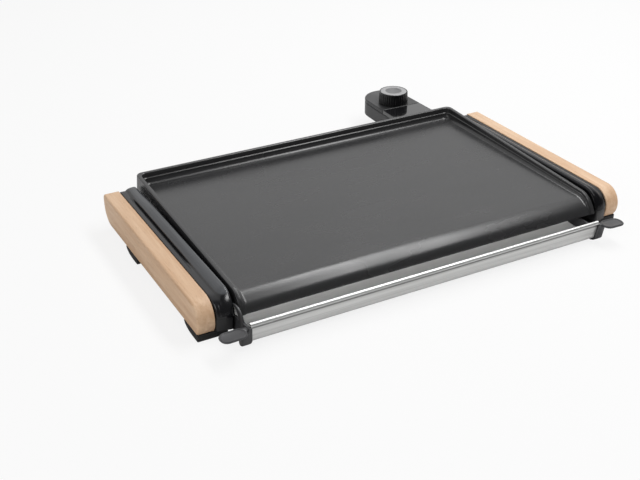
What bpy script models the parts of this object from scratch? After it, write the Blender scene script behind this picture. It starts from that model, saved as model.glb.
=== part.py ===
"""Electric plancha: a rolled-front cooking plate carried between two sides with wood handles.

Metres, +Z up. -Y is the front, where the fat runs off the plate into the drip gutter.
The origin is on the table, under the middle of the whole object.
"""

import math

import bmesh
import bpy
from mathutils import Vector

# Clearances
touch = 0.0003  # between pieces that seat against each other
slip = 0.0005  # between pieces that slide past each other
overrun = 0.0015  # how far a cutter passes the face that it opens
bite = 0.0006  # how far a joined boss reaches into the wall that carries it

# Wood handles
handle_thickness = 0.0182
side_setback = 0.0080  # how far the sides end before the plate's rear
handle_height = 0.0321
handle_lift = 0.0081
handle_nose_radius = 0.0197
handle_heel_radius = 0.0180
handle_top_corner = 0.0020
handle_outer_edge = 0.0026
handle_inner_edge = 0.0008

# Side cheeks and the trays below them
handle_gap = 0.0007
cheek_width = 0.0166
cheek_set_down = 0.0004
cheek_corner = 0.0040
cheek_wall = 0.0024
cheek_roof = 0.0046
rail_rise = 0.0028
rail_nose_rise = 0.0042
groove_depth = 0.0022
groove_start = 0.0400
groove_end_inset = 0.0178
groove_fade = 0.0480
split_height = 0.0228
split_gap = 0.0006
tray_bottom = 0.0088
tray_floor = 0.0024
tray_wall = 0.0022
tray_front_outer = 0.0040
tray_front_inner = 0.0078
tray_corner = 0.0022

# Feet
foot_width = 0.0310
foot_length = 0.0340
foot_flat = 0.0140
foot_inset = 0.0008
foot_front = -0.0012
foot_rear_inset = 0.0998
foot_edge = 0.0012
peg_radius = 0.0025
peg_rise = 0.0030

# Rails that join the sides, pads on them, and the screws
rail_width = 0.0140
rail_height = 0.0080
rail_sheet = 0.0010
front_rail_at = 0.0440
rear_rail_inset = 0.0478
pad_radius = 0.0058
pad_thickness = 0.0018
screw_radius = 0.0014
screw_head_radius = 0.0028
screw_head_height = 0.0017
post_radius = 0.0034
cheek_screw_front = 0.1000
cheek_screw_rear_inset = 0.0168
handle_screw_front = 0.0620
handle_screw_rear_inset = 0.0628
handle_screw_drop = 0.0102
handle_screw_length = 0.0150

# Heat shield
shield_sheet = 0.0008
shield_bottom = 0.0045
shield_front = 0.0180
shield_rear_inset = 0.0148
shield_wall = 0.0064
shelf_front = -0.0200
shelf_inset = 0.0213
ear_width = 0.0120
side_gap = 0.0047

# Cooking plate
plate_width = 0.4270
plate_rear = 0.2708
roll_start = 0.0120
roll_radius = 0.0230
roll_angle = math.radians(69)
surface_height = 0.0370
surface_fall = 0.0025
plate_thickness = 0.0050
lip_thickness = 0.0030
rim_height = 0.0135
rim_height_at_roll = 0.0057
rim_height_at_lip = 0.0018
rim_thickness = 0.0045
rim_edge = 0.0012
rim_corner = 0.0068
rim_crease = 0.0008
rim_crease_share = 0.50
rim_fillet = 0.0140
skirt_drop = 0.0095
skirt_drop_at_lip = 0.0042
skirt_flare = 0.0013
skirt_fillet = 0.0020
leg_radius = 0.0050
leg_inset = 0.0125

# Heating element and its socket
element_radius = 0.00325
element_ridge = 0.0100
element_front = 0.0750
element_back_inset = 0.0728
element_left_inset = 0.0485
element_bend = 0.0220
element_end_inset = 0.0388
pin_spacing = 0.0240
pin_radius = 0.0020
pin_length = 0.0297
pin_drop = 0.0105
probe_radius = 0.00225
probe_tip_inset = 0.0583
boss_radius = 0.0052
boss_start_inset = 0.0658
boss_end_inset = 0.0348
shroud_sheet = 0.0011
shroud_front_inset = 0.0323
shroud_rear_inset = 0.0053
ear_size = 0.0070

# Thermostat
thermostat_inset = 0.0357
thermostat_gap = 0.0039
thermostat_length = 0.1193
thermostat_end_radius = 0.0285
thermostat_front_width = 0.0610
thermostat_drop = 0.0105
thermostat_height = 0.0228
thermostat_wall = 0.0020
thermostat_floor = 0.0030
thermostat_edge = 0.0008
cover_height = 0.0050
split_clearance = 0.0008
nose_width = 0.0390
nose_height = 0.0119
nose_reach = 0.0325
nose_flange = 0.0020
sleeve_radius = 0.0030
sleeve_length = 0.0300
clip_width = 0.0060
clip_sheet = 0.0006
block_width = 0.0220
block_length = 0.0280
block_height = 0.0105
blade_width = 0.0070
blade_start = 0.0234
gland_radius = 0.0047
gland_bore = 0.0034
gland_flange = 0.0062
gland_length = 0.0062
housing_screw_inset = 0.0085
housing_screw_front = 0.0240
rear_screw_clearance = 0.0065

# Knob
knob_from_end = 0.0469
knob_radius = 0.0194
knob_draft = 0.0004
knob_rib = 0.0005
knob_height = 0.0151
knob_edge = 0.0014
knob_wall = 0.0024
knob_hub = 0.0060
knob_hollow = 0.0060
knob_cap_radius = 0.0175
knob_cap_depth = 0.0030
knob_dish_radius = 0.0098
knob_dish_depth = 0.0008
spindle_radius = 0.0030
spindle_flat = 0.0022
cam_radius = 0.0065
cam_height = 0.0028

# Drip gutter
gutter_inset = 0.0072
gutter_shift = -0.0088
gutter_sheet = 0.0008
gutter_height = 0.0239
gutter_front = 0.0336
gutter_front_slope = 0.0036
gutter_rear = 0.0140
gutter_rear_height = 0.0180
gutter_fillet = 0.0040
bead_radius = 0.0020
bead_start = math.radians(262)
bead_end = math.radians(-48)
cap_wall = 0.0022
cap_lap_end = 0.0009
cap_lap_middle = 0.0026
cap_lap_floor = 0.0030
cap_grip = 0.0092
cap_rise = 0.0012
cap_grip_depth = 0.0104
cap_grip_corner = 0.0044
cap_grip_edge = 0.0020
cap_rear_height = 0.0182
tab_front = 0.0447
tab_width = 0.0172
tab_reach = 0.0220
tab_thickness = 0.0024
tab_drop = 0.0008
tab_droop = 0.0008
tab_corner = 0.0074
tab_edge = 0.0008
tab_rim = 0.0018
tab_dish = 0.0006
horn_tip = -0.0010
horn_height = 0.0330
horn_root = 0.0245
horn_root_height = 0.0195
horn_bow_reach = 0.0058
horn_bow_rise = 0.0070
horn_depth = 0.0105
horn_width = 0.0024
horn_taper = 0.0014
horn_edge = 0.0010

# Where the main pieces lie
handle_length = plate_rear - side_setback
foot_height = handle_lift - touch
foot_rear = handle_length - foot_rear_inset
groove_end = handle_length - groove_end_inset
cheek_screw_rear = handle_length - cheek_screw_rear_inset
handle_screw_rear = handle_length - handle_screw_rear_inset
rear_rail_at = plate_rear - rear_rail_inset
shield_rear = plate_rear - shield_rear_inset
element_back = plate_rear - element_back_inset
element_end = plate_rear - element_end_inset
probe_tip = plate_rear - probe_tip_inset
boss_start = plate_rear - boss_start_inset
boss_end = plate_rear - boss_end_inset
shroud_front = plate_rear - shroud_front_inset
shroud_rear = plate_rear - shroud_rear_inset
ear_reach = shroud_front - slip - (rear_rail_at + leg_radius)
plate_back_face = plate_rear + skirt_flare
thermostat_front = plate_back_face + thermostat_gap
overall_depth = tab_front + thermostat_front + thermostat_length
datum_y = tab_front - overall_depth / 2
plate_side = plate_width / 2
element_left = plate_side - element_left_inset
gutter_length = plate_width - gutter_inset * 2
shelf_width = gutter_length - shelf_inset * 2
cheek_inner = plate_side + skirt_flare + side_gap
cheek_outer = cheek_inner + cheek_width
handle_inner = cheek_outer + handle_gap
handle_outer = handle_inner + handle_thickness
handle_top = handle_lift + handle_height
handle_screw_height = handle_top - handle_screw_drop
tray_middle = (cheek_inner + cheek_outer) / 2
tray_floor_top = tray_bottom + tray_floor
rail_bottom = tray_floor_top + touch
rail_top = rail_bottom + rail_height
pad_top = rail_top + touch + pad_thickness
leg_x = plate_side - leg_inset
thermostat_at = plate_side - thermostat_inset
pin_height = surface_height - pin_drop
thermostat_bottom = pin_height - thermostat_drop
thermostat_top = thermostat_bottom + thermostat_height
cover_bottom = thermostat_top - cover_height
thermostat_rear = datum_y + thermostat_front + thermostat_length
knob_y = thermostat_rear - knob_from_end
housing_screw_side = thermostat_front_width / 2 - housing_screw_inset
cover_split = thermostat_length - knob_from_end - knob_radius - split_clearance
housing_screw_rear = knob_from_end - block_length / 2 - post_radius - rear_screw_clearance
knob_bottom = thermostat_top + slip
knob_top = knob_bottom + knob_height
gland_height = thermostat_bottom + thermostat_floor + touch + gland_flange
cap_top = gutter_height + cap_rise
gutter_bottom = shield_bottom + shield_sheet + touch + gutter_sheet / 2

LEFT, RIGHT = -1, 1
SIDES = {LEFT: "left", RIGHT: "right"}


def clear_scene():
    for obj in list(bpy.data.objects):
        bpy.data.objects.remove(obj, do_unlink=True)


# Outlines

def arc(centre, radius, start, end, steps):
    """Points of an arc in a plane, both ends included."""
    angles = [start + (end - start) * i / steps for i in range(steps + 1)]
    return [(centre[0] + radius * math.cos(a), centre[1] + radius * math.sin(a)) for a in angles]


def circle(centre, radius, steps):
    return arc(centre, radius, 0, 2 * math.pi, steps)[:-1]


def fillet(before, corner, after, radius, steps):
    """Points of the arc that rounds one corner of a path."""
    corner = Vector(corner)
    back, on = Vector(before) - corner, Vector(after) - corner
    half = back.angle(on) / 2
    reach = min(radius / math.tan(half), back.length / 2, on.length / 2)
    first = corner + back.normalized() * reach
    last = corner + on.normalized() * reach
    centre = corner + (back.normalized() + on.normalized()).normalized() * reach / math.cos(half)
    start = math.atan2(first.y - centre.y, first.x - centre.x)
    turn = math.atan2(last.y - centre.y, last.x - centre.x) - start
    turn = (turn + math.pi) % (2 * math.pi) - math.pi
    return arc(centre, (first - centre).length, start, start + turn, steps)


def rounded_path(points, radius, steps=4):
    """An open path whose inner corners are rounded."""
    path = [points[0]]
    for before, corner, after in zip(points, points[1:], points[2:]):
        path += fillet(before, corner, after, radius, steps)
    return path + [points[-1]]


def rounded_outline(points, radius, steps=3):
    """A closed outline whose corners are all rounded."""
    outline = []
    for i, corner in enumerate(points):
        outline += fillet(points[i - 1], corner, points[(i + 1) % len(points)], radius, steps)
    return outline


def offset_path(path, distance):
    """An open path moved sideways, to the left of its direction."""
    moved = []
    for i, point in enumerate(path):
        before = Vector(path[max(i - 1, 0)])
        after = Vector(path[min(i + 1, len(path) - 1)])
        here = Vector(point)
        ways = [way.normalized() for way in (here - before, after - here) if way.length > 0]
        normals = [Vector((-way.y, way.x)) for way in ways]
        mean = sum(normals, Vector((0, 0))).normalized()
        moved.append(tuple(here + mean * distance / max(mean.dot(normals[0]), 0.4)))
    return moved


def strip(path, thickness):
    """The closed outline of a bent sheet that follows a path."""
    return offset_path(path, thickness / 2) + offset_path(path, -thickness / 2)[::-1]


# Solids, each a pair of vertices and faces

def block(low, high):
    xs, ys, zs = zip(low, high)
    return loft([[(x, y, z) for x, y in ((xs[0], ys[0]), (xs[1], ys[0]), (xs[1], ys[1]), (xs[0], ys[1]))]
                 for z in zs])


def loft(loops):
    """A solid through closed loops of equally many points, with flat ends."""
    count = len(loops[0])
    vertices = [point for loop in loops for point in loop]
    faces = [list(range(count)), list(range(len(vertices) - count, len(vertices)))]
    for k in range(len(loops) - 1):
        for i in range(count):
            j = (i + 1) % count
            faces.append([k * count + i, k * count + j, (k + 1) * count + j, (k + 1) * count + i])
    return vertices, faces


def placed(point, along, depth):
    """A point of an outline in space: the outline's axes are the two that follow after the third."""
    a, b = point
    return {"x": (depth, a, b), "y": (a, depth, b), "z": (a, b, depth)}[along]


def extrude(outline, along, start, end):
    return loft([[placed(point, along, depth) for point in outline] for depth in (start, end)])


def rod(centre, along, radius, start, end, steps=16):
    return extrude(circle(centre, radius, steps), along, start, end)


def turned(profile, centre, steps=32):
    """A solid turned about a vertical axis from a profile of (radius, height), axis to axis.

    A third number ribs a ring: it gets a point more between each two, drawn in by that much.
    """
    vertices, rings = [], []
    for radius, height, *rib in profile:
        first = len(vertices)
        if radius == 0:
            vertices.append((centre[0], centre[1], height))
        elif rib:
            for (x, y), (inner_x, inner_y) in zip(circle(centre, radius, steps * 2)[::2],
                                                  circle(centre, radius - rib[0], steps * 2)[1::2]):
                vertices += [(x, y, height), (inner_x, inner_y, height)]
        else:
            vertices += [(x, y, height) for x, y in circle(centre, radius, steps)]
        rings.append(list(range(first, len(vertices))))

    def span(ring, i):
        """The part of a ring that belongs to one step round the axis."""
        share = max(len(ring) // steps, 1)
        return [ring[(i * share + k) % len(ring)] for k in range(share + 1)]
    faces = []
    for low, high in zip(rings, rings[1:]):
        if len(low) + len(high) > 2:
            for i in range(steps):
                face = span(low, i) + span(high, i)[::-1]
                if len(low) == len(high) == steps * 2:
                    faces += [[face[0], face[1], face[4], face[5]], [face[1], face[2], face[3], face[4]]]
                else:
                    faces.append(list(dict.fromkeys(face)))
    return vertices, faces


def sweep(path, section):
    """A solid along a path that lies nearly flat. The section is given as (sideways, up)."""
    loops = []
    for i, point in enumerate(path):
        before, after = path[max(i - 1, 0)], path[min(i + 1, len(path) - 1)]
        way = Vector((after[0] - before[0], after[1] - before[1], after[2] - before[2])).normalized()
        side = Vector((0, 0, 1)).cross(way).normalized()
        up = way.cross(side)
        loops.append([tuple(Vector(point) + side * a + up * b) for a, b in section])
    return loft(loops)


def merged(shapes):
    vertices, faces = [], []
    for more_vertices, more_faces in shapes:
        first = len(vertices)
        vertices += more_vertices
        faces += [[first + i for i in face] for face in more_faces]
    return vertices, faces


def mirrored(shape, side):
    """The shape on the given side: shapes are drawn on the right, at +X."""
    return [(side * x, y, z) for x, y, z in shape[0]], shape[1]


# Objects

def finish(name, colour, roughness, metallic=0.0):
    material = bpy.data.materials.new(name)
    material.use_nodes = True
    shader = material.node_tree.nodes["Principled BSDF"]
    shader.inputs["Base Color"].default_value = (*colour, 1)
    shader.inputs["Roughness"].default_value = roughness
    shader.inputs["Metallic"].default_value = metallic
    return material


def mesh_object(name, shape):
    mesh = bpy.data.meshes.new(name)
    mesh.from_pydata(*[shape[0], [], shape[1]])
    work = bmesh.new()
    work.from_mesh(mesh)
    bmesh.ops.recalc_face_normals(work, faces=work.faces)
    work.to_mesh(mesh)
    work.free()
    obj = bpy.data.objects.new(name, mesh)
    bpy.context.scene.collection.objects.link(obj)
    return obj


def piece(name, shape, material, joint, smooth=35):
    """A named sub-part, carried by the empty of its joint."""
    obj = mesh_object(name, shape)
    obj.data.materials.append(material)
    obj.data.shade_smooth()
    obj.data.set_sharp_from_angle(angle=math.radians(smooth))
    obj.parent = joint
    obj.matrix_parent_inverse = joint.matrix_world.inverted()
    return obj


def boolean(obj, operation, shapes):
    tool = mesh_object(f"{obj.name}_{operation.lower()}_{len(obj.modifiers)}", merged(shapes))
    tool.hide_render = True
    tool.display_type = "WIRE"
    modifier = obj.modifiers.new(operation.title(), "BOOLEAN")
    modifier.operation = operation
    modifier.solver = "EXACT"
    modifier.object = tool


def carve(obj, *shapes):
    boolean(obj, "DIFFERENCE", shapes)


def weld(obj, *shapes):
    boolean(obj, "UNION", shapes)


def soften(obj, width, segments=2, angle=40):
    modifier = obj.modifiers.new("Edges", "BEVEL")
    modifier.width = width
    modifier.segments = segments
    modifier.limit_method = "ANGLE"
    modifier.angle_limit = math.radians(angle)


def joint_empty(name, place):
    empty = bpy.data.objects.new(name, None)
    empty.location = place
    bpy.context.scene.collection.objects.link(empty)
    bpy.context.view_layer.update()
    return empty


def screw_profile(seat, tip):
    head_low = seat - screw_head_height
    return [(0, head_low), (screw_head_radius * 0.8, head_low),
            (screw_head_radius, head_low + screw_head_height / 2), (screw_head_radius, seat),
            (screw_radius, seat), (screw_radius, tip - screw_radius), (0, tip)]


def screw(name, centre, seat, tip, material, joint):
    """A pan-head screw that points up, its head under the seat."""
    return piece(name, turned(screw_profile(seat, tip), centre, 8), material, joint)


def smooth_step(value):
    value = min(max(value, 0), 1)
    return value * value * (3 - 2 * value)


# Sides

def side_outline(inset, low, heel, corner, nose_steps=10):
    """The handle's outline seen from the side, from the lower front round to the lower rear."""
    centre = (datum_y + nose_centre(), handle_top - handle_nose_radius)
    radius = handle_nose_radius - inset
    drop = math.asin(min(max((centre[1] - low) / radius, -1), 1))
    outline = arc(centre, radius, math.pi + drop, math.pi / 2, nose_steps)
    rear, top = datum_y + handle_length - inset, handle_top - inset
    outline += arc((rear - corner, top - corner), corner, math.pi / 2, 0, 3)
    if heel:
        outline += arc((rear - heel, low + heel), heel, 0, -math.pi / 2, 6)
    else:
        outline.append((rear, low))
    return outline


def nose_centre():
    """How far the centre of the bull nose lies behind the handle's lower front corner."""
    return math.sqrt(handle_nose_radius ** 2 - (handle_height - handle_nose_radius) ** 2)


def handle_slice(x, inset):
    outline = side_outline(inset, handle_lift + inset, handle_heel_radius, handle_top_corner)
    return [(x, y, z) for y, z in outline]


def handle_shape():
    """The wood slab: slices across its thickness, drawn in at both faces to round the long edges."""
    slices = []
    for face, way, edge in ((handle_inner, 1, handle_inner_edge), (handle_outer, -1, handle_outer_edge)):
        rounding = [(face + way * edge * (1 - math.sin(a)), edge * (1 - math.cos(a)))
                    for a in (math.pi / 2, math.pi / 3, math.pi / 6, 0)]
        slices.append(rounding[::way])
    return loft([handle_slice(x, inset) for x, inset in slices[0] + slices[1]])


def cheek_stations():
    """Points of the cheek's side view, each with its outward normal, nose share and groove share."""
    centre = Vector((datum_y + nose_centre(), handle_top - handle_nose_radius))
    radius = handle_nose_radius - cheek_set_down
    low = split_height
    rear, top = datum_y + handle_length - cheek_set_down, handle_top - cheek_set_down
    lift = math.asin(min(max((low - centre.y) / radius, -1), 1))
    stations = []
    for y, z in arc(centre, radius, math.pi - lift, math.pi / 2, 10):
        normal = (Vector((y, z)) - centre).normalized()
        stations.append((Vector((y, z)), normal, smooth_step(-normal.x), 0.0))
    stations[0] = (stations[0][0], Vector((-1, 0)), 1.0, 0.0)
    length = rear - cheek_corner - centre.x
    for share in (0.06, 0.11, 0.16, 0.21, 0.26, 0.50, 0.80, 0.86, 0.92, 0.97):
        y = centre.x + length * share
        front = smooth_step((y - datum_y - groove_start) / groove_fade)
        back = smooth_step((datum_y + groove_end - y) / groove_fade * 2)
        stations.append((Vector((y, top)), Vector((0, 1)), 0.0, min(front, back)))
    corner = Vector((rear - cheek_corner, top - cheek_corner))
    for y, z in arc(corner, cheek_corner, math.pi / 2, 0, 3):
        stations.append((Vector((y, z)), (Vector((y, z)) - corner).normalized(), 0.0, 0.0))
    stations.append((Vector((rear, low)), Vector((1, 0)), 0.0, 0.0))
    return stations


def cheek_shape():
    """The glossy cheek: side views from the wood to the plate, raised or sunk by the rail and groove."""
    # shares of the width from the wood, of the groove's depth, and of the rise on the rail and on the nose
    width_shares = ((0.00, 0.25, 0.0, -0.3), (0.04, 0.0, 0.0, 0.1), (0.27, 0.0, 0.0, 0.56),
                    (0.32, 1.0, 0.0, 0.66), (0.40, 1.0, 0.0, 0.78), (0.45, 0.1, 0.55, 0.84),
                    (0.51, 0.0, 0.88, 0.91), (0.62, 0.0, 1.0, 0.98), (0.76, 0.0, 1.0, 1.0),
                    (0.88, 0.0, 0.85, 0.84), (0.96, 0.0, 0.40, 0.50), (1.00, 0.0, -0.3, -0.1))
    loops = []
    for across_share, groove_share, rail_share, nose_share in width_shares:
        loop = []
        for point, normal, nose, groove in cheek_stations():
            rise = rail_share * rail_rise * (1 - nose) + nose_share * rail_nose_rise * nose
            edge = across_share == 0
            rise -= groove_share * groove_depth * (1 if edge else groove)
            moved = point + normal * rise
            loop.append((cheek_outer - cheek_width * across_share, moved.x, moved.y))
        loops.append(loop)
    return loft(loops)


def cheek_cavity():
    outline = side_outline(cheek_roof, split_height - overrun, 0, cheek_corner, 6)
    return extrude(outline, "x", cheek_inner + cheek_wall, cheek_outer - cheek_wall)


def tray_outline(inset):
    rear = datum_y + handle_length - cheek_set_down - inset
    points = [(cheek_outer - inset, datum_y - tray_front_outer + inset),
              (cheek_outer - inset, rear), (cheek_inner + inset, rear),
              (cheek_inner + inset, datum_y - tray_front_inner + inset)]
    return rounded_outline(points, max(tray_corner - inset, tray_corner / 4), 3)


def foot_shape(at):
    """A foot seen from the side: flat in front, curving up behind, with its peg."""
    front = datum_y + at
    rise = foot_length - foot_flat
    outline = [(front, foot_height), (front, foot_edge), (front + foot_edge, 0), (front + foot_flat, 0)]
    for i in range(1, 7):
        turn = math.pi / 2 * i / 6
        outline.append((front + foot_flat + rise * math.sin(turn), foot_height * (1 - math.cos(turn))))
    outer = handle_outer - foot_inset
    return extrude(outline, "x", outer - foot_width, outer)


def rail_places():
    return {"front": datum_y + front_rail_at, "rear": datum_y + rear_rail_at}


def foot_places():
    return {"front": foot_front, "rear": foot_rear}


def build_side(side, base, wood, gloss, satin, rubber, steel):
    label = SIDES[side]
    hole = screw_radius + touch
    cheek_places = {"front": datum_y + cheek_screw_front, "rear": datum_y + cheek_screw_rear}
    handle_places = {"front": datum_y + handle_screw_front, "rear": datum_y + handle_screw_rear}
    pegs = {end: datum_y + at + foot_flat for end, at in foot_places().items()}
    screw_tip = handle_inner - touch + handle_screw_length - cheek_wall

    handle = piece(f"wood_handle_{label}", mirrored(handle_shape(), side), wood, base)
    for y in handle_places.values():
        pilot = rod((y, handle_screw_height), "x", hole, handle_inner - overrun, screw_tip + touch, 12)
        carve(handle, mirrored(pilot, side))

    cheek = piece(f"side_cheek_{label}", mirrored(cheek_shape(), side), gloss, base, 50)
    carve(cheek, mirrored(cheek_cavity(), side))
    post_low = tray_floor_top + touch
    post_high = handle_top - cheek_set_down - cheek_roof + bite
    weld(cheek, *[rod((side * tray_middle, y), "z", post_radius, post_low, post_high, 14)
                  for y in cheek_places.values()])
    pilots = [rod((side * tray_middle, y), "z", hole, post_low - overrun, post_high - post_radius, 12)
              for y in cheek_places.values()]
    through = (cheek_outer - cheek_wall - overrun, cheek_outer + overrun)
    carve(cheek, *pilots, *[mirrored(rod((y, handle_screw_height), "x", hole, *through, 12), side)
                            for y in handle_places.values()])

    tray_solid = extrude(tray_outline(0), "z", tray_bottom, split_height - split_gap)
    tray = piece(f"side_tray_{label}", mirrored(tray_solid, side), satin, base)
    trough = extrude(tray_outline(tray_wall), "z", tray_floor_top, split_height + overrun)
    carve(tray, mirrored(trough, side))
    half_slot = rail_width / 2 + touch
    slots = [block((cheek_inner - overrun, y - half_slot, tray_floor_top),
                   (cheek_inner + tray_wall + overrun, y + half_slot, split_height + overrun))
             for y in rail_places().values()]
    carve(tray, *[mirrored(slot, side) for slot in slots])
    floor = (tray_bottom - overrun, tray_floor_top + overrun)
    holes = [rod((side * tray_middle, y), "z", hole, *floor, 12)
             for y in [*cheek_places.values(), *rail_places().values()]]
    holes += [rod((side * tray_middle, y), "z", peg_radius + touch, *floor, 14) for y in pegs.values()]
    carve(tray, *holes)

    for end, at in foot_places().items():
        foot = piece(f"foot_{end}_{label}", mirrored(foot_shape(at), side), rubber, base)
        soften(foot, foot_edge / 2, 1)
        weld(foot, rod((side * tray_middle, pegs[end]), "z", peg_radius, foot_height - bite,
                       tray_floor_top + peg_rise, 14))
    for end, y in cheek_places.items():
        screw(f"cheek_screw_{end}_{label}", (side * tray_middle, y), tray_bottom - touch,
              post_high - post_radius - touch, steel, base)
    for end, y in handle_places.items():
        head = cheek_outer - cheek_wall - touch
        upright = turned(screw_profile(head, screw_tip), (0, 0), 8)
        lying = [(side * z, y + px, handle_screw_height + py) for px, py, z in upright[0]]
        piece(f"handle_screw_{end}_{label}", (lying, upright[1]), steel, base)


# Frame between the sides

def build_frame(base, steel, zinc, silicone):
    rail_end = cheek_outer - tray_wall - slip
    hole = screw_radius + touch
    for end, y in rail_places().items():
        half, low, high = rail_width / 2, rail_bottom, rail_top
        path = [(y - half + rail_sheet / 2, low), (y - half + rail_sheet / 2, high - rail_sheet / 2),
                (y + half - rail_sheet / 2, high - rail_sheet / 2), (y + half - rail_sheet / 2, low)]
        rail = piece(f"{end}_rail", extrude(strip(rounded_path(path, rail_sheet, 2), rail_sheet), "x",
                                            -rail_end, rail_end), zinc, base)
        through = (high - rail_sheet - overrun, high + overrun)
        carve(rail, *[rod((side * tray_middle, y), "z", hole, *through, 12) for side in SIDES])
        for side, label in SIDES.items():
            screw(f"rail_screw_{end}_{label}", (side * tray_middle, y),
                  tray_bottom - touch - shield_sheet - touch, high + touch, steel, base)
            pad = rod((side * leg_x, y), "z", pad_radius, high + touch, pad_top, 20)
            piece(f"plate_pad_{end}_{label}", pad, silicone, base)


def build_shield(base, tin):
    """The floor under the element: upturned at the sides and rear, with ears and a shelf for the gutter."""
    wide = cheek_inner - side_gap + shield_sheet / 2
    low = shield_bottom + shield_sheet / 2
    tall = low + shield_wall
    section = rounded_path([(-wide, tall), (-wide, low), (wide, low), (wide, tall)], shield_sheet, 2)
    front, rear = datum_y + shield_front, datum_y + shield_rear
    shelf_edge = datum_y + shelf_front
    floor = extrude(strip(section, shield_sheet), "y", shelf_edge, rear)
    shield = piece("heat_shield", floor, tin, base)
    ear_high = tray_bottom - touch
    ears = [mirrored(block((wide - shield_sheet / 4, y - ear_width / 2, ear_high - shield_sheet),
                           (tray_middle + ear_width / 2, y + ear_width / 2, ear_high)), side)
            for y in rail_places().values() for side in SIDES]
    back = block((-wide + shield_sheet, rear - shield_sheet, shield_bottom + shield_sheet / 2),
                 (wide - shield_sheet, rear + shield_sheet / 4, low + shield_wall))
    weld(shield, back)
    weld(shield, *ears)
    carve(shield, *[mirrored(block((shelf_width / 2, shelf_edge - overrun, shield_bottom - overrun),
                                   (wide + overrun, front, low + shield_wall + overrun)), side)
                    for side in SIDES])
    through = (ear_high - shield_sheet - overrun, ear_high + overrun)
    carve(shield, *[rod((side * tray_middle, y), "z", screw_radius + touch, *through, 12)
                    for y in rail_places().values() for side in SIDES])


# Cooking plate

def fall_angle():
    return math.atan(surface_fall / (plate_rear - roll_start))


def roll_length():
    return roll_radius * (roll_angle - fall_angle())


def plate_length():
    return roll_length() + (plate_rear - roll_start) / math.cos(fall_angle())


def plate_line(along):
    """(point, normal) of the cooking surface in the side view, along its length from the drip lip."""
    fall = fall_angle()
    if along >= roll_length():
        run = along - roll_length()
        point = Vector((roll_start + run * math.cos(fall), surface_height + run * math.sin(fall)))
        return point, Vector((-math.sin(fall), math.cos(fall)))
    turn = fall + (roll_length() - along) / roll_radius
    point = Vector((roll_start - roll_radius * (math.sin(turn) - math.sin(fall)),
                    surface_height - roll_radius * (math.cos(fall) - math.cos(turn))))
    return point, Vector((-math.sin(turn), math.cos(turn)))


def underside_height(y):
    """Height of the plate's flat underside, y from the datum."""
    fall = fall_angle()
    return surface_height + (y - roll_start) * math.tan(fall) - plate_thickness / math.cos(fall)


def between(along, at_lip, at_roll, at_rear):
    """A size that has one value at the lip, one where the roll starts and one at the rear."""
    if along < roll_length():
        return at_lip + (at_roll - at_lip) * smooth_step(along / roll_length())
    return at_roll + (at_rear - at_roll) * (along - roll_length()) / (plate_length() - roll_length())


def rim_rings():
    """Rings over the rim from the skirt's outer foot to the cooking surface: (inset, rise) by place."""
    def crest(down_share):
        return lambda along: between(along, rim_height_at_lip, rim_height_at_roll, rim_height) \
            - rim_edge * down_share * between(along, rim_height_at_lip / rim_height, 1, 1)

    def foot(along):
        return -between(along, skirt_drop_at_lip, skirt_drop, skirt_drop)

    edge_share = 1 - math.sqrt(2) / 2
    corner = rim_edge * edge_share
    rings = [(-skirt_flare, foot), (0, crest(1)), (corner, crest(edge_share)), (rim_edge, crest(0)),
             (rim_thickness - rim_edge, crest(0)), (rim_thickness - corner, crest(edge_share)),
             (rim_thickness, crest(1))]
    wall = rim_thickness + rim_crease / 4

    def part_way(share):
        return lambda along: between(along, rim_height_at_lip, rim_height_at_roll, rim_height) * share
    rings.append((wall, part_way(rim_crease_share + rim_crease / rim_height)))
    wall += rim_crease
    for step in range(7):
        turn = math.pi / 2 * step / 6
        share = rim_crease_share * (1 - math.sin(turn))
        rings.append((wall + rim_fillet * (1 - math.cos(turn)), part_way(share)))
    return rings


def underside_rings():
    """Rings under the plate, from the underside's flat to the skirt's inner foot."""
    def under(share):
        def rise(along):
            flat = between(along, lip_thickness, plate_thickness, plate_thickness)
            foot = between(along, skirt_drop_at_lip, skirt_drop, skirt_drop)
            return -flat - (foot - flat) * share
        return rise
    corner_share = skirt_fillet / (skirt_drop - plate_thickness)
    return [(rim_thickness + skirt_fillet, under(0)),
            (rim_thickness + skirt_fillet / 3, under(corner_share / 3)),
            (rim_thickness, under(corner_share)), (rim_thickness - skirt_flare, under(1))]


def ring_points(inset, rise):
    """One ring, an open U seen from above: from the left end of the lip round the rear to the right end."""
    side_x = plate_side - inset
    end = plate_length() - inset - rim_corner
    roll_steps = 9
    stations = [roll_length() * i / roll_steps for i in range(roll_steps + 1)]
    stations += [roll_length() + (end - roll_length()) * share for share in (0.30, 0.65, 1.0)]
    left = [(-side_x, along) for along in stations]
    corner = arc((-side_x + rim_corner, end), rim_corner, math.pi, math.pi / 2, 5)[1:]
    half = left + corner
    points = []
    for x, along in half + [(-x, along) for x, along in reversed(half)]:
        point, normal = plate_line(along)
        place = point + normal * rise(min(max(along, 0), plate_length()))
        points.append((x, datum_y + place.x, place.y))
    return points, len(stations)


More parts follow.
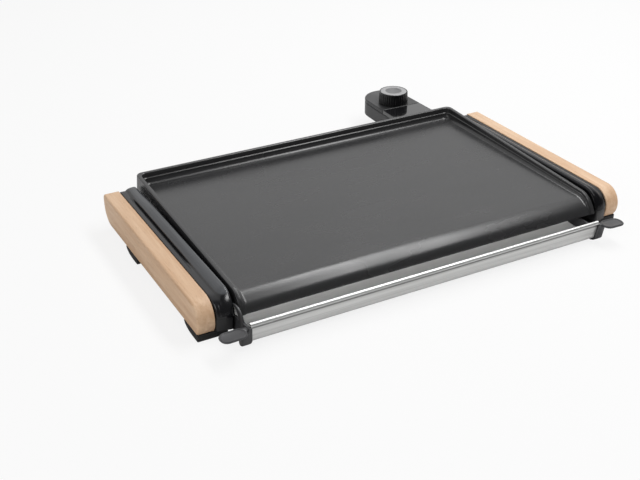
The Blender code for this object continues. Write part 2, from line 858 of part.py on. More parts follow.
def plate_shape():
    """The casting as one skin: over the rim and across the surface, then back along the underside."""
    rings, faces, vertices = [], [], []
    for inset, rise in rim_rings() + underside_rings():
        points, side_count = ring_points(inset, rise)
        rings.append(list(range(len(vertices), len(vertices) + len(points))))
        vertices += points
    top_last = len(rim_rings()) - 1
    count = len(rings[0])
    for k, (ring, after) in enumerate(zip(rings, rings[1:] + rings[:1])):
        if k != top_last:
            faces += [[ring[i], ring[i + 1], after[i + 1], after[i]] for i in range(count - 1)]
    for ring in (rings[top_last], rings[top_last + 1]):
        for i in range(side_count - 1):
            faces.append([ring[i], ring[i + 1], ring[count - 2 - i], ring[count - 1 - i]])
        faces.append(ring[side_count - 1:count - side_count + 1])
    top, under = rings[:top_last + 1], rings[top_last + 1:]
    lip = [ring[0] for ring in top] + [ring[-1] for ring in reversed(top)]
    faces.append(lip + [ring[-1] for ring in reversed(under)] + [ring[0] for ring in under])
    return vertices, faces


def element_height(y):
    """Centre height of the element where it lies in its ridge, y from the datum."""
    return underside_height(y) - element_radius - touch


def element_path():
    """The element's centre line: in from one pin, round under the plate, and back to the other."""
    half = pin_spacing / 2
    plan = [(thermostat_at - half, element_end), (thermostat_at - half, element_back),
            (-element_left, element_back), (-element_left, element_front),
            (thermostat_at + half, element_front), (thermostat_at + half, element_end)]
    path = []
    for x, y in rounded_path(plan, element_bend, 5):
        dip = smooth_step((y - element_back) / (element_end - element_back))
        path.append((x, datum_y + y, element_height(y) + (pin_height - element_height(element_end)) * dip))
    return path


def build_plate(plate, coating, steel, brass, tin):
    cooking_plate = piece("cooking_plate", plate_shape(), coating, plate, 40)
    half = element_ridge / 2
    ridge_path = [point for point in element_path() if point[1] < datum_y + element_back + touch]
    ridge = sweep(ridge_path, [(-half, 0), (half, 0), (half * 0.7, element_radius + bite + touch),
                               (-half * 0.7, element_radius + bite + touch)])
    weld(cooking_plate, ridge)
    for y in rail_places().values():
        leg = (pad_top + touch, underside_height(y - datum_y) + bite)
        weld(cooking_plate, *[rod((side * leg_x, y), "z", leg_radius, *leg, 16) for side in SIDES])
    boss_high = underside_height(boss_start) + bite
    web = [(thermostat_at - boss_radius, pin_height), (thermostat_at + boss_radius, pin_height),
           (thermostat_at + boss_radius, boss_high), (thermostat_at - boss_radius, boss_high)]
    round_foot = arc((thermostat_at, pin_height), boss_radius, math.pi, 2 * math.pi, 10)
    weld(cooking_plate, extrude(round_foot + web[2:], "y", datum_y + boss_start, datum_y + boss_end))
    groove = [(a, b) for a, b in circle((0, 0), element_radius + touch, 12)]
    carve(cooking_plate, sweep(element_path(), groove))
    bore = rod((thermostat_at, pin_height), "y", probe_radius + slip, datum_y + probe_tip - slip * 4,
               datum_y + boss_end + overrun, 16)
    notch_half = nose_width / 2 + shroud_sheet + slip * 4
    notch = block((thermostat_at - notch_half, datum_y + shroud_rear - slip, pin_height - nose_height * 2),
                  (thermostat_at + notch_half, datum_y + plate_back_face + overrun,
                   underside_height(shroud_rear) + touch))
    pilot = (ear_top() - overrun, ear_top() + plate_thickness * 0.6)
    screws = [rod(place, "z", screw_radius + touch, *pilot, 12) for place in socket_screw_places().values()]
    carve(cooking_plate, bore, *screws)
    carve(cooking_plate, notch)

    tube = circle((0, 0), element_radius, 10)
    piece("heating_element", sweep(element_path(), tube), steel, plate)
    pin_start = datum_y + element_end + touch
    for side, label in SIDES.items():
        pin = rod((thermostat_at + side * pin_spacing / 2, pin_height), "y", pin_radius, pin_start,
                  pin_start + pin_length, 14)
        piece(f"terminal_pin_{label}", pin, brass, plate)
    build_socket(plate, steel, tin)


def ear_top():
    return underside_height(shroud_front - ear_reach) - touch


def socket_screw_places():
    reach = nose_width / 2 + slip - ear_size / 2 + shroud_sheet
    y = datum_y + shroud_front - ear_reach / 2
    return {label: (thermostat_at + side * reach, y) for side, label in SIDES.items()}


def socket_section(grow):
    half = nose_width / 2 + slip + grow
    low = pin_height - nose_height / 2 - slip - clip_sheet - touch * 2 - grow
    high = pin_height + nose_height / 2 + slip + grow
    return half, low, min(high, ear_top())


def build_socket(plate, steel, tin):
    """The shroud round the pins: a box open to the rear, hung from the plate by two ears."""
    half, low, high = socket_section(shroud_sheet)
    inner_half, inner_low, inner_high = socket_section(0)
    front, rear = datum_y + shroud_front, datum_y + shroud_rear
    box = block((thermostat_at - half, front, low), (thermostat_at + half, rear, high))
    shroud = piece("socket_shroud", box, tin, plate)
    ears = [block((x - ear_size / 2, y - ear_reach / 2, high - shroud_sheet),
                  (x + ear_size / 2, front + bite, high)) for x, y in socket_screw_places().values()]
    weld(shroud, *ears)
    carve(shroud, block((thermostat_at - inner_half, front + shroud_sheet, inner_low),
                        (thermostat_at + inner_half, rear + overrun, inner_high)))
    through = (front - overrun, front + shroud_sheet + overrun)
    pins = [(thermostat_at + side * pin_spacing / 2, pin_height) for side in SIDES]
    holes = [rod(centre, "y", pin_radius + touch, *through, 14) for centre in pins]
    holes.append(rod((thermostat_at, pin_height), "y", probe_radius + slip, *through, 14))
    holes += [rod(place, "z", screw_radius + touch, high - shroud_sheet - overrun, high + overrun, 12)
              for place in socket_screw_places().values()]
    carve(shroud, *holes)
    for label, place in socket_screw_places().items():
        screw(f"socket_screw_{label}", place, high - shroud_sheet - touch, high + plate_thickness * 0.5,
              steel, plate)


# Drip gutter

def gutter_path(front_top, rear_top):
    """The gutter's section without its hem: down the front wall, along the floor and up behind."""
    def front(z):
        return datum_y - gutter_front + gutter_front_slope * (1 - z / gutter_height)
    rear = datum_y + gutter_rear
    return rounded_path([(front(front_top), front_top), (front(gutter_bottom), gutter_bottom),
                         (rear, gutter_bottom), (rear, rear_top)], gutter_fillet, 5)


def gutter_section():
    """The gutter's bent sheet: a rolled bead along the front edge, then the walls and floor."""
    centre = (datum_y - gutter_front - bead_radius * math.cos(bead_start),
              gutter_height - bead_radius * math.sin(bead_start))
    bead = arc(centre, bead_radius, bead_end, bead_start, 10)
    return strip(bead + gutter_path(gutter_height, gutter_rear_height)[1:], gutter_sheet)


def cap_shape(side):
    """An end cap: a plate on the gutter's end, with a bulging lip that laps over the steel."""
    end = gutter_length / 2 + touch
    path = gutter_path(cap_top, cap_rear_height)
    inner = offset_path(path, -(gutter_sheet / 2 + touch))
    outer = offset_path(path, -(gutter_sheet / 2 + touch + cap_wall))
    lap_turn = datum_y - gutter_front + gutter_fillet

    def lap(y, z):
        down = min(max((cap_top - z) / (cap_top - gutter_bottom), 0), 1)
        under = smooth_step((y - lap_turn) / gutter_fillet)
        wide = cap_lap_end + (cap_lap_middle - cap_lap_end) * 4 * down * (1 - down)
        return end - wide + (wide - cap_lap_floor) * under

    loops = [[(lap(y, z), y, z) for y, z in outer], [(end + cap_wall, y, z) for y, z in outer],
             [(end, y, z) for y, z in inner], [(lap(y, z), y, z) for y, z in inner]]
    count = len(path)
    vertices = [point for loop in loops for point in loop]
    vertices = [(gutter_shift + side * x, y, z) for x, y, z in vertices]
    faces = []
    for k in (0, 2, 3):
        here, there = k * count, ((k + 1) % 4) * count
        faces += [[here + i, here + i + 1, there + i + 1, there + i] for i in range(count - 1)]
    faces.append([count + i for i in range(count)])
    faces.append([2 * count + i for i in range(count)])
    for i in (0, count - 1):
        faces.append([i, count + i, 2 * count + i, 3 * count + i])
    faces.append([count, 2 * count - 1, 3 * count - 1, 2 * count])
    return vertices, faces


def horn_shape(side):
    """The left cap's horn: it rises along the gap beside the plate and thins towards its tip."""
    root = Vector((datum_y - horn_root, horn_root_height))
    tip = Vector((datum_y + horn_tip, horn_height))
    bow = Vector((root.x + horn_bow_reach, tip.y + horn_bow_rise))
    outer = cap_outward(side, touch + horn_width)
    loops = []
    for share in [i / 7 for i in range(8)]:
        point = root * (1 - share) ** 2 + bow * 2 * share * (1 - share) + tip * share ** 2
        deep = horn_depth * (1 - share)
        low = (point.x + deep / 2, point.y - deep - horn_edge)
        inner = cap_outward(side, touch + horn_taper * share)
        loops.append([(inner, *point), (outer, *point), (outer, *low), (inner, *low)])
    return loft(loops)


def cap_outward(side, reach):
    """X of a point beyond the gutter's end, on the given side."""
    return gutter_shift + side * (gutter_length / 2 + touch + reach)


def cap_front():
    return datum_y - gutter_front - gutter_sheet / 2 - touch - cap_wall


def grip_shape(side):
    """The block outside the cap's plate: its section drawn in towards its rounded outer end."""
    front, low = cap_front() - bite, gutter_bottom - gutter_sheet / 2 - touch - cap_wall / 2
    back = front + cap_grip_depth
    loops = []
    ends = arc((cap_grip - cap_grip_edge, cap_grip_edge), cap_grip_edge, -math.pi / 2, 0, 3)
    for reach, inset in [(cap_wall / 2, 0)] + ends:
        top = cap_top - tab_drop - inset
        corners = [(front + inset, top), (front + gutter_front_slope + inset, low + inset),
                   (back - inset, low + inset), (back - inset, top - tab_drop * 2)]
        section = rounded_outline(corners, cap_grip_corner - inset, 3)
        loops.append([(cap_outward(side, reach), y, z) for y, z in section])
    return loft(loops)


def tab_shape(side):
    """The thumb tab: a paddle with rounded edges and a shallow dish, drooping a little outwards."""
    top = cap_top - tab_drop * 2
    low = top - tab_thickness
    dish = tab_rim + tab_dish
    levels = [(low, tab_edge), (low + tab_edge, 0), (top - tab_edge, 0), (top, tab_edge), (top, tab_rim),
              (top - tab_dish, dish)]
    loops = []
    for height, inset in levels:
        near, far = cap_grip / 2 + inset, cap_grip + tab_reach - inset
        front, back = datum_y - tab_front + inset, datum_y - tab_front + tab_width - inset
        corners = [(near, front), (far, front), (far, back), (near, back)]
        plan = rounded_outline(corners, tab_corner - inset, 4)
        loops.append([(cap_outward(side, reach), y, height - tab_droop * (reach - near) / (far - near))
                      for reach, y in plan])
    return loft(loops)


def build_gutter(gutter, steel, grey):
    half = gutter_length / 2
    trough = extrude(gutter_section(), "x", gutter_shift - half, gutter_shift + half)
    piece("drip_gutter", trough, steel, gutter)
    front = cap_front()
    back = front + cap_grip_depth
    for side, label in SIDES.items():
        cap = piece(f"gutter_cap_{label}", cap_shape(side), grey, gutter)
        weld(cap, grip_shape(side))
        weld(cap, tab_shape(side))
        inner, end = cap_outward(side, -cap_lap_middle * 2), cap_outward(side, 0)
        carve(cap, block((min(inner, end), front - overrun, gutter_height - touch * 2),
                         (max(inner, end), back, horn_height)))
        if side == LEFT:
            weld(cap, horn_shape(side))
        else:
            carve(cap, block((inner, back - tab_drop * 2, cap_rear_height),
                             (cap_outward(side, cap_grip + overrun),
                              datum_y + gutter_rear + cap_wall * 2, horn_height)))


# Thermostat

def thermostat_outline(inset, start, end):
    """The housing in plan between two distances from its front; it ends in a half round."""
    front = datum_y + thermostat_front
    centre = Vector((thermostat_at, thermostat_rear - thermostat_end_radius))
    radius = thermostat_end_radius - inset

    def half_width(y):
        share = (centre.y - y) / (centre.y - front)
        return radius + (thermostat_front_width / 2 - thermostat_end_radius) * share
    low = front + start
    outline = [(thermostat_at + half_width(low), low)]
    if end is None:
        outline += arc(centre, radius, 0, math.pi, 16)
    else:
        high = front + end
        outline += [(thermostat_at + half_width(high), high), (thermostat_at - half_width(high), high)]
    return outline + [(thermostat_at - half_width(low), low)]


def housing_screw_places():
    front = datum_y + thermostat_front
    return {"front": (thermostat_at - housing_screw_side, front + housing_screw_front),
            "rear": (thermostat_at, thermostat_rear - housing_screw_rear)}


def build_thermostat(thermostat, satin, gloss, steel, brass, ceramic, rubber):
    front = datum_y + thermostat_front
    wall, hole = thermostat_wall, screw_radius + touch
    floor_top = thermostat_bottom + thermostat_floor
    nose_front, nose_rear = front - nose_reach, front + wall + touch + nose_flange
    nose_low, nose_high = pin_height - nose_height / 2, pin_height + nose_height / 2
    nose_half = nose_width / 2
    post_high = thermostat_top - wall + bite

    shell = extrude(thermostat_outline(0, 0, None), "z", thermostat_bottom, cover_bottom - touch)
    base = piece("thermostat_base", shell, satin, thermostat)
    soften(base, thermostat_edge, 1)
    carve(base, extrude(thermostat_outline(wall, wall, None), "z", floor_top, cover_bottom + overrun))
    heads = screw_head_height + touch * 2
    low = thermostat_bottom - overrun
    places = housing_screw_places().values()
    carve(base, *[rod(centre, "z", hole, low, floor_top + overrun, 12) for centre in places])
    carve(base, *[rod(centre, "z", screw_head_radius + touch, low, thermostat_bottom + heads, 14)
                  for centre in places])
    carve(base, block((thermostat_at - nose_half - touch, front - overrun, nose_low - touch),
                      (thermostat_at + nose_half + touch, front + wall + overrun, cover_bottom + overrun)))
    gland_out = thermostat_rear - slip
    carve(base, rod((thermostat_at, gland_height), "y", gland_radius + touch, gland_out - gland_length,
                    thermostat_rear + overrun, 16))

    ends = {"front": (0, cover_split - touch / 2), "rear": (cover_split + touch / 2, None)}
    for end, (start, stop) in ends.items():
        inner_stop = stop if stop is None else stop - wall
        lid = extrude(thermostat_outline(0, start, stop), "z", cover_bottom, thermostat_top)
        cover = piece(f"thermostat_{end}_cover", lid, gloss if end == "front" else satin, thermostat)
        soften(cover, thermostat_edge, 1)
        hollow = thermostat_outline(wall, start + wall, inner_stop)
        carve(cover, extrude(hollow, "z", cover_bottom - overrun, thermostat_top - wall))
        centre = housing_screw_places()[end]
        weld(cover, rod(centre, "z", post_radius, floor_top + touch, post_high, 14))
        openings = [rod(centre, "z", hole, floor_top - overrun, post_high - post_radius, 12)]
        if end == "rear":
            openings.append(rod((thermostat_at, knob_y), "z", spindle_radius + touch * 2,
                                thermostat_top - wall - overrun, thermostat_top + overrun, 20))
        carve(cover, *openings)
        screw(f"thermostat_screw_{end}", centre, thermostat_bottom + heads - touch,
              post_high - post_radius - touch, steel, thermostat)

    nose = block((thermostat_at - nose_half, nose_front, nose_low),
                 (thermostat_at + nose_half, nose_rear, nose_high))
    carrier = piece("contact_carrier", nose, ceramic, thermostat)
    soften(carrier, thermostat_edge, 1)
    flange_half = nose_half + nose_flange
    weld(carrier, block((thermostat_at - flange_half, front + wall + touch, nose_low - nose_flange / 2),
                        (thermostat_at + flange_half, nose_rear - touch, cover_bottom - slip)))
    through = (nose_front - overrun, nose_rear + overrun)
    carve(carrier, rod((thermostat_at, pin_height), "y", probe_radius + touch, *through, 14),
          *[rod((thermostat_at + side * pin_spacing / 2, pin_height), "y", sleeve_radius + touch, *through,
                16) for side in SIDES])
    start, stop = nose_front + slip, nose_front + slip + sleeve_length
    for side, label in SIDES.items():
        centre = (thermostat_at + side * pin_spacing / 2, pin_height)
        sleeve = piece(f"contact_sleeve_{label}", rod(centre, "y", sleeve_radius, start, stop, 16), brass,
                       thermostat)
        carve(sleeve, rod(centre, "y", pin_radius + touch, start - overrun, stop + overrun, 14))
    clip_top = nose_low - touch
    piece("earth_clip", block((thermostat_at - clip_width / 2, nose_front + slip, clip_top - clip_sheet),
                              (thermostat_at + clip_width / 2, front - slip, clip_top)), brass, thermostat)

    block_front = knob_y - block_length / 2
    tip = datum_y + probe_tip
    rounded_tip = [(0, tip), (probe_radius * 0.7, tip + probe_radius * 0.3),
                   (probe_radius, tip + probe_radius), (probe_radius, block_front - touch),
                   (0, block_front - touch)]
    upright = turned(rounded_tip, (0, 0), 14)
    lying = [(thermostat_at + x, y, pin_height + z) for x, z, y in upright[0]]
    piece("sensor_probe", (lying, upright[1]), steel, thermostat)
    block_low = floor_top + touch
    block_high = block_low + block_height
    case = block((thermostat_at - block_width / 2, block_front, block_low),
                 (thermostat_at + block_width / 2, block_front + block_length, block_high))
    switch = piece("switch_block", case, ceramic, thermostat)
    carve(switch, rod((thermostat_at, knob_y), "z", spindle_radius + touch, spindle_bottom() - touch,
                      block_high + overrun, 20))
    blade_end, blade_low = knob_y - cam_radius - slip, block_high + touch
    blade = block((thermostat_at - blade_width / 2, front + blade_start, blade_low),
                  (thermostat_at + blade_width / 2, blade_end, blade_low + clip_sheet))
    piece("bimetal_blade", blade, brass, thermostat)
    plug = rod((thermostat_at, gland_height), "y", gland_radius, gland_out - gland_length, gland_out, 16)
    gland = piece("cord_gland", plug, rubber, thermostat)
    inner_wall = thermostat_rear - wall - touch * 2
    flange = (inner_wall - wall, inner_wall - slip)
    weld(gland, rod((thermostat_at, gland_height), "y", gland_flange, *flange, 16))
    carve(gland, rod((thermostat_at, gland_height), "y", gland_bore, gland_out - gland_length * 2,
                     gland_out + overrun, 14))


# Knob

def spindle_bottom():
    return thermostat_bottom + thermostat_floor + touch + block_height / 2


def build_knob(knob, black, silver, steel):
    centre = (thermostat_at, knob_y)
    cap_seat = knob_top - knob_cap_depth
    bore_top = cap_seat - knob_wall / 2
    edge = arc((knob_radius - knob_draft - knob_edge, knob_top - knob_edge), knob_edge, math.pi / 2, 0, 4)
    inner = knob_radius - knob_wall
    seat_radius = knob_cap_radius + touch / 2
    profile = [(0, cap_seat), (seat_radius, cap_seat), (seat_radius, knob_top)] + edge
    profile += [(knob_radius - knob_draft, knob_top - knob_edge * 2, knob_rib),
                (knob_radius, knob_bottom + knob_edge, knob_rib), (knob_radius, knob_bottom)]
    profile += [(inner, knob_bottom), (inner, knob_bottom + knob_hollow),
                (knob_hub, knob_bottom + knob_hollow), (knob_hub, knob_bottom),
                (spindle_radius + touch, knob_bottom), (spindle_radius + touch, bore_top), (0, bore_top)]
    piece("control_knob", turned(profile, centre, 36), black, knob)

    face = knob_top
    dish = [(0, face - knob_dish_depth), (knob_dish_radius - knob_dish_depth, face - knob_dish_depth),
            (knob_dish_radius, face - knob_dish_depth / 4), (knob_dish_radius + knob_dish_depth, face),
            (knob_cap_radius - knob_dish_depth, face), (knob_cap_radius, face - knob_dish_depth / 2),
            (knob_cap_radius, cap_seat + touch), (0, cap_seat + touch)]
    piece("knob_cap", turned(dish, centre, 36), silver, knob)

    cam_low = thermostat_bottom + thermostat_floor + touch + block_height + touch * 2
    low, high = spindle_bottom(), bore_top - touch
    spindle = piece("knob_spindle", rod(centre, "z", spindle_radius, low, high, 20), steel, knob)
    weld(spindle, rod(centre, "z", cam_radius, cam_low, cam_low + cam_height, 24))
    flat_start = knob_bottom + slip
    wide = spindle_radius * 2
    carve(spindle, block((centre[0] + spindle_flat, centre[1] - wide, flat_start),
                         (centre[0] + wide, centre[1] + wide, high + overrun)))


def main():
    clear_scene()
    wood = finish("beech", (0.78, 0.56, 0.36), 0.55)
    gloss = finish("gloss_black", (0.015, 0.015, 0.017), 0.18)
    satin = finish("satin_black", (0.035, 0.035, 0.037), 0.45)
    rubber = finish("rubber_black", (0.012, 0.012, 0.012), 0.8)
    steel = finish("screw_steel", (0.55, 0.55, 0.56), 0.35, 1.0)
    zinc = finish("zinc_plated", (0.60, 0.61, 0.62), 0.4, 1.0)
    tin = finish("tin_sheet", (0.62, 0.63, 0.64), 0.38, 1.0)
    silicone = finish("silicone", (0.35, 0.08, 0.05), 0.7)
    coating = finish("nonstick_coating", (0.075, 0.075, 0.078), 0.42, 0.2)
    brass = finish("brass_contact", (0.78, 0.60, 0.30), 0.3, 1.0)
    brushed = finish("brushed_steel", (0.66, 0.66, 0.67), 0.28, 1.0)
    grey = finish("grey_plastic", (0.09, 0.09, 0.095), 0.4)
    ceramic = finish("ceramic", (0.72, 0.68, 0.60), 0.6)
    silver = finish("knob_ring_grey", (0.36, 0.36, 0.37), 0.3, 0.4)
    black = finish("knob_black", (0.010, 0.010, 0.011), 0.35)

    base = joint_empty("base", (0, 0, 0))
    plate = joint_empty("plate_lift", (0, datum_y + plate_rear / 2, pad_top))
    gutter = joint_empty("gutter_pull", (gutter_shift, datum_y, gutter_bottom))
    thermostat = joint_empty("thermostat_pull", (thermostat_at, datum_y + thermostat_front, pin_height))
    knob = joint_empty("knob_turn", (thermostat_at, knob_y, knob_bottom))

    for side in SIDES:
        build_side(side, base, wood, gloss, satin, rubber, steel)
    build_frame(base, steel, zinc, silicone)
    build_shield(base, tin)
    build_plate(plate, coating, steel, brass, tin)
    build_gutter(gutter, brushed, grey)
    build_thermostat(thermostat, satin, gloss, steel, brass, ceramic, rubber)
    build_knob(knob, black, silver, steel)


main()
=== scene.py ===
"""Looks of the electric plancha: finishes, fine surfaces and studio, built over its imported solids.

Metres, +Z up, in the frame of the solids: -Y is the front, +X the side with the thermostat.
"""

import logging
import math
from dataclasses import dataclass
from enum import Enum
from typing import Callable, ClassVar, Iterable, Sequence

import bmesh
import bpy
from mathutils import Matrix, Vector


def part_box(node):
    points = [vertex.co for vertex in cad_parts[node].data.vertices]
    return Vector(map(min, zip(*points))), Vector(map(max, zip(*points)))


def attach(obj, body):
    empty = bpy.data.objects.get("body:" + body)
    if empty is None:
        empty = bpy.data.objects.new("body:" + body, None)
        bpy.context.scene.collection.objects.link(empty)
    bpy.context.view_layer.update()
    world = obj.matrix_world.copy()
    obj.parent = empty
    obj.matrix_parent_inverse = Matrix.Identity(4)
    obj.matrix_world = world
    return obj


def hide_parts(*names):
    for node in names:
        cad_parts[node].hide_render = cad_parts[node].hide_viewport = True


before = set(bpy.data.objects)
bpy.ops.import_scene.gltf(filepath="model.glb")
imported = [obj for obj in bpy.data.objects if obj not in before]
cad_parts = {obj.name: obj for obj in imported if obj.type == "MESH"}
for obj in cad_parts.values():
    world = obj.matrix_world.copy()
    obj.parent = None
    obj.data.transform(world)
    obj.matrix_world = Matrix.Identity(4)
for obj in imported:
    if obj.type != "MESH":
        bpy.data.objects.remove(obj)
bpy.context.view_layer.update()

log = logging.getLogger("plancha")

Point2 = tuple[float, float]
Point3 = tuple[float, float, float]
Colour = tuple[float, float, float]
Solid = tuple[list[Point3], list[list[int]]]


class Body(Enum):
    """The rigid bodies that pieces ride on."""

    BASE = "base"
    PLATE = "plate"
    GUTTER = "gutter"
    THERMOSTAT = "thermostat"
    KNOB = "knob"


class Side(Enum):
    """The two ends of the plancha, each with its sign along X."""

    LEFT = -1
    RIGHT = 1

    @property
    def label(self) -> str:
        """The word that ends the side's piece names."""
        return self.name.lower()


ENDS = ("front", "rear")
CORNERS = [(end, side.label) for end in ENDS for side in Side]


def linked(name: str, data: bpy.types.ID) -> bpy.types.Object:
    """A new object in the scene.

    Args:
        name: its name.
        data: its mesh, lamp or camera.

    Returns:
        The object.
    """
    obj = bpy.data.objects.new(name, data)
    bpy.context.scene.collection.objects.link(obj)
    return obj


def bake(obj: bpy.types.Object) -> None:
    """Turns an object's modifiers into its own mesh.

    Args:
        obj: the object.
    """
    graph = bpy.context.evaluated_depsgraph_get()
    made = bpy.data.meshes.new_from_object(obj.evaluated_get(graph), preserve_all_data_layers=True,
                                           depsgraph=graph)
    obj.modifiers.clear()
    obj.data = made


# Shader and geometry nodes


class Field:
    """A node's output that takes part in Python arithmetic, each step a Math node."""

    def __init__(self, graph: "Graph", socket: bpy.types.NodeSocket) -> None:
        """Keeps the graph and the socket.

        Args:
            graph: the graph that new nodes go into.
            socket: the output that carries the value.
        """
        self.graph, self.socket = graph, socket

    def math(self, operation: str, *others: "float | Field") -> "Field":
        """One Math node whose first value is this field.

        Args:
            operation: the Math node's operation.
            others: its other values.

        Returns:
            The result as a field.
        """
        values = dict(enumerate((self, *others)))
        return self.graph.node("ShaderNodeMath", {"operation": operation}, values)

    def __add__(self, other: "float | Field") -> "Field":
        """This plus other."""
        return self.math("ADD", other)

    def __sub__(self, other: "float | Field") -> "Field":
        """This minus other."""
        return self.math("SUBTRACT", other)

    def __rsub__(self, other: float) -> "Field":
        """A number minus this."""
        return self.graph.node("ShaderNodeMath", {"operation": "SUBTRACT"}, {0: other, 1: self})

    def __mul__(self, other: "float | Field") -> "Field":
        """This times other."""
        return self.math("MULTIPLY", other)

    def __pow__(self, other: "float | Field") -> "Field":
        """This to the power of other."""
        return self.math("POWER", other)

    __radd__, __rmul__ = __add__, __mul__

    def step(self, low: float, high: float) -> "Field":
        """A smooth step: 0 below low, 1 above high; the other way round if low is above high.

        Args:
            low: the value that gives 0.
            high: the value that gives 1.

        Returns:
            The step as a field.
        """
        return self.graph.node("ShaderNodeMapRange", {"interpolation_type": "SMOOTHSTEP"},
                               {"Value": self, "From Min": low, "From Max": high})


class Graph:
    """A node tree and the one method that adds nodes to it."""

    def __init__(self, tree: bpy.types.NodeTree) -> None:
        """Keeps the tree.

        Args:
            tree: a shader or geometry tree.
        """
        self.tree = tree

    def node(self, kind: str, settings: dict | None = None, inputs: dict | None = None,
             output: int | str = 0) -> Field:
        """Adds a node, sets it up, then fills and links its sockets.

        Args:
            kind: the node's type.
            settings: its properties; "stops" holds a ramp's (place, colour) pairs.
            inputs: the value or field of each socket, by name or index.
            output: which output the field that comes back wraps.

        Returns:
            The chosen output as a field.
        """
        made = self.tree.nodes.new(kind)
        for name, value in (settings or {}).items():
            if name == "stops":
                ramp = made.color_ramp.elements
                while len(ramp) < len(value):
                    ramp.new(1.0)
                for stop, (place, colour) in zip(ramp, value):
                    stop.position, stop.color = place, (*colour, 1.0)
            else:
                setattr(made, name, value)
        for name, value in (inputs or {}).items():
            if isinstance(value, Field):
                self.tree.links.new(value.socket, made.inputs[name])
            elif isinstance(value, (tuple, list)) and value and isinstance(value[0], Field):
                for each in value:
                    self.tree.links.new(each.socket, made.inputs[name])
            else:
                made.inputs[name].default_value = value
        if not made.outputs:
            return Field(self, made.inputs[0])
        return Field(self, made.outputs[output])

    def blend(self, share: "float | Field", first: "Colour | Field", second: "Colour | Field") -> Field:
        """A colour between two.

        Args:
            share: how much of the second.
            first: a colour or a field.
            second: a colour or a field.

        Returns:
            The mixed colour.
        """
        ends = {6: first, 7: second}
        ends = {k: v if isinstance(v, Field) else (*v, 1.0) for k, v in ends.items()}
        return self.node("ShaderNodeMix", {"data_type": "RGBA"}, {0: share, **ends}, 2)

    def place(self, stretch: Point3 = (1, 1, 1), turn: Point3 = (0, 0, 0)) -> Field:
        """The object's own coordinates, stretched and turned.

        Args:
            stretch: the scale along each axis.
            turn: the rotation in radians.

        Returns:
            The coordinates as a field.
        """
        own = self.node("ShaderNodeTexCoord", output="Object")
        return self.node("ShaderNodeMapping", None, {"Vector": own, "Rotation": turn, "Scale": stretch})

    def noise(self, stretch: Point3, detail: float = 3.0, rough: float = 0.5, distort: float = 0.0) -> Field:
        """Noise over the object, its grains per metre given along each axis.

        Args:
            stretch: grains per metre along X, Y and Z.
            detail: octaves.
            rough: how strong the finer octaves are.
            distort: how much it swirls.

        Returns:
            The noise, mostly between 0.3 and 0.7.
        """
        return self.node("ShaderNodeTexNoise", None,
                         {"Vector": self.place(stretch), "Scale": 1.0, "Detail": detail, "Roughness": rough,
                          "Distortion": distort})

    def vectors(self, operation: str, inputs: dict, output: str = "Vector") -> Field:
        """One Vector Math node.

        Args:
            operation: the node's operation.
            inputs: the value or field of each socket.
            output: which output comes back.

        Returns:
            The result as a field.
        """
        return self.node("ShaderNodeVectorMath", {"operation": operation}, inputs, output)

    def axis(self, name: str) -> Field:
        """One of the object's own coordinates in metres.

        Args:
            name: X, Y or Z.

        Returns:
            The coordinate as a field.
        """
        return self.node("ShaderNodeSeparateXYZ", None, {0: self.place()}, name)


class Rule:
    """A Geometry Nodes tree with named inputs, which turns a plain mesh into a finished one."""

    def __init__(self, name: str, **sizes: float) -> None:
        """Starts the tree and its inputs.

        Args:
            name: the tree's name.
            sizes: its inputs and their values, with _ for a space; whole numbers make integer inputs.
        """
        self.tree = bpy.data.node_groups.new(name, "GeometryNodeTree")
        self.graph = Graph(self.tree)
        for way in ("INPUT", "OUTPUT"):
            self.tree.interface.new_socket("Geometry", in_out=way, socket_type="NodeSocketGeometry")
        self.sizes = {label.replace("_", " "): value for label, value in sizes.items()}
        for label, value in self.sizes.items():
            kind = "NodeSocketInt" if isinstance(value, int) else "NodeSocketFloat"
            self.tree.interface.new_socket(label, in_out="INPUT", socket_type=kind)
        self.source = self.tree.nodes.new("NodeGroupInput")

    def given(self, label: str = "Geometry") -> Field:
        """One of the tree's inputs."""
        return Field(self.graph, self.source.outputs[label])

    def vector(self, *values: float | Field) -> Field:
        """A vector from its three parts."""
        return self.graph.node("ShaderNodeCombineXYZ", None, dict(enumerate(values)))

    def end(self, result: Field, finish: "Finish") -> None:
        """Closes the tree: real meshes, with their material.

        Args:
            result: the geometry.
            finish: what it is dressed in.
        """
        solid = self.graph.node("GeometryNodeRealizeInstances", None, {0: result})
        dressed = self.graph.node("GeometryNodeSetMaterial", None, {"Geometry": solid,
                                                                    "Material": finish.material()})
        self.graph.node("NodeGroupOutput", None, {0: dressed})

    def run(self, obj: bpy.types.Object) -> None:
        """Runs the tree on an object and keeps the result as its mesh.

        Args:
            obj: the object with the plain mesh.
        """
        modifier = obj.modifiers.new(self.tree.name, "NODES")
        modifier.node_group = self.tree
        for item in self.tree.interface.items_tree:
            if item.in_out == "INPUT" and item.name in self.sizes:
                modifier[item.identifier] = self.sizes[item.name]
        bake(obj)


# Finishes


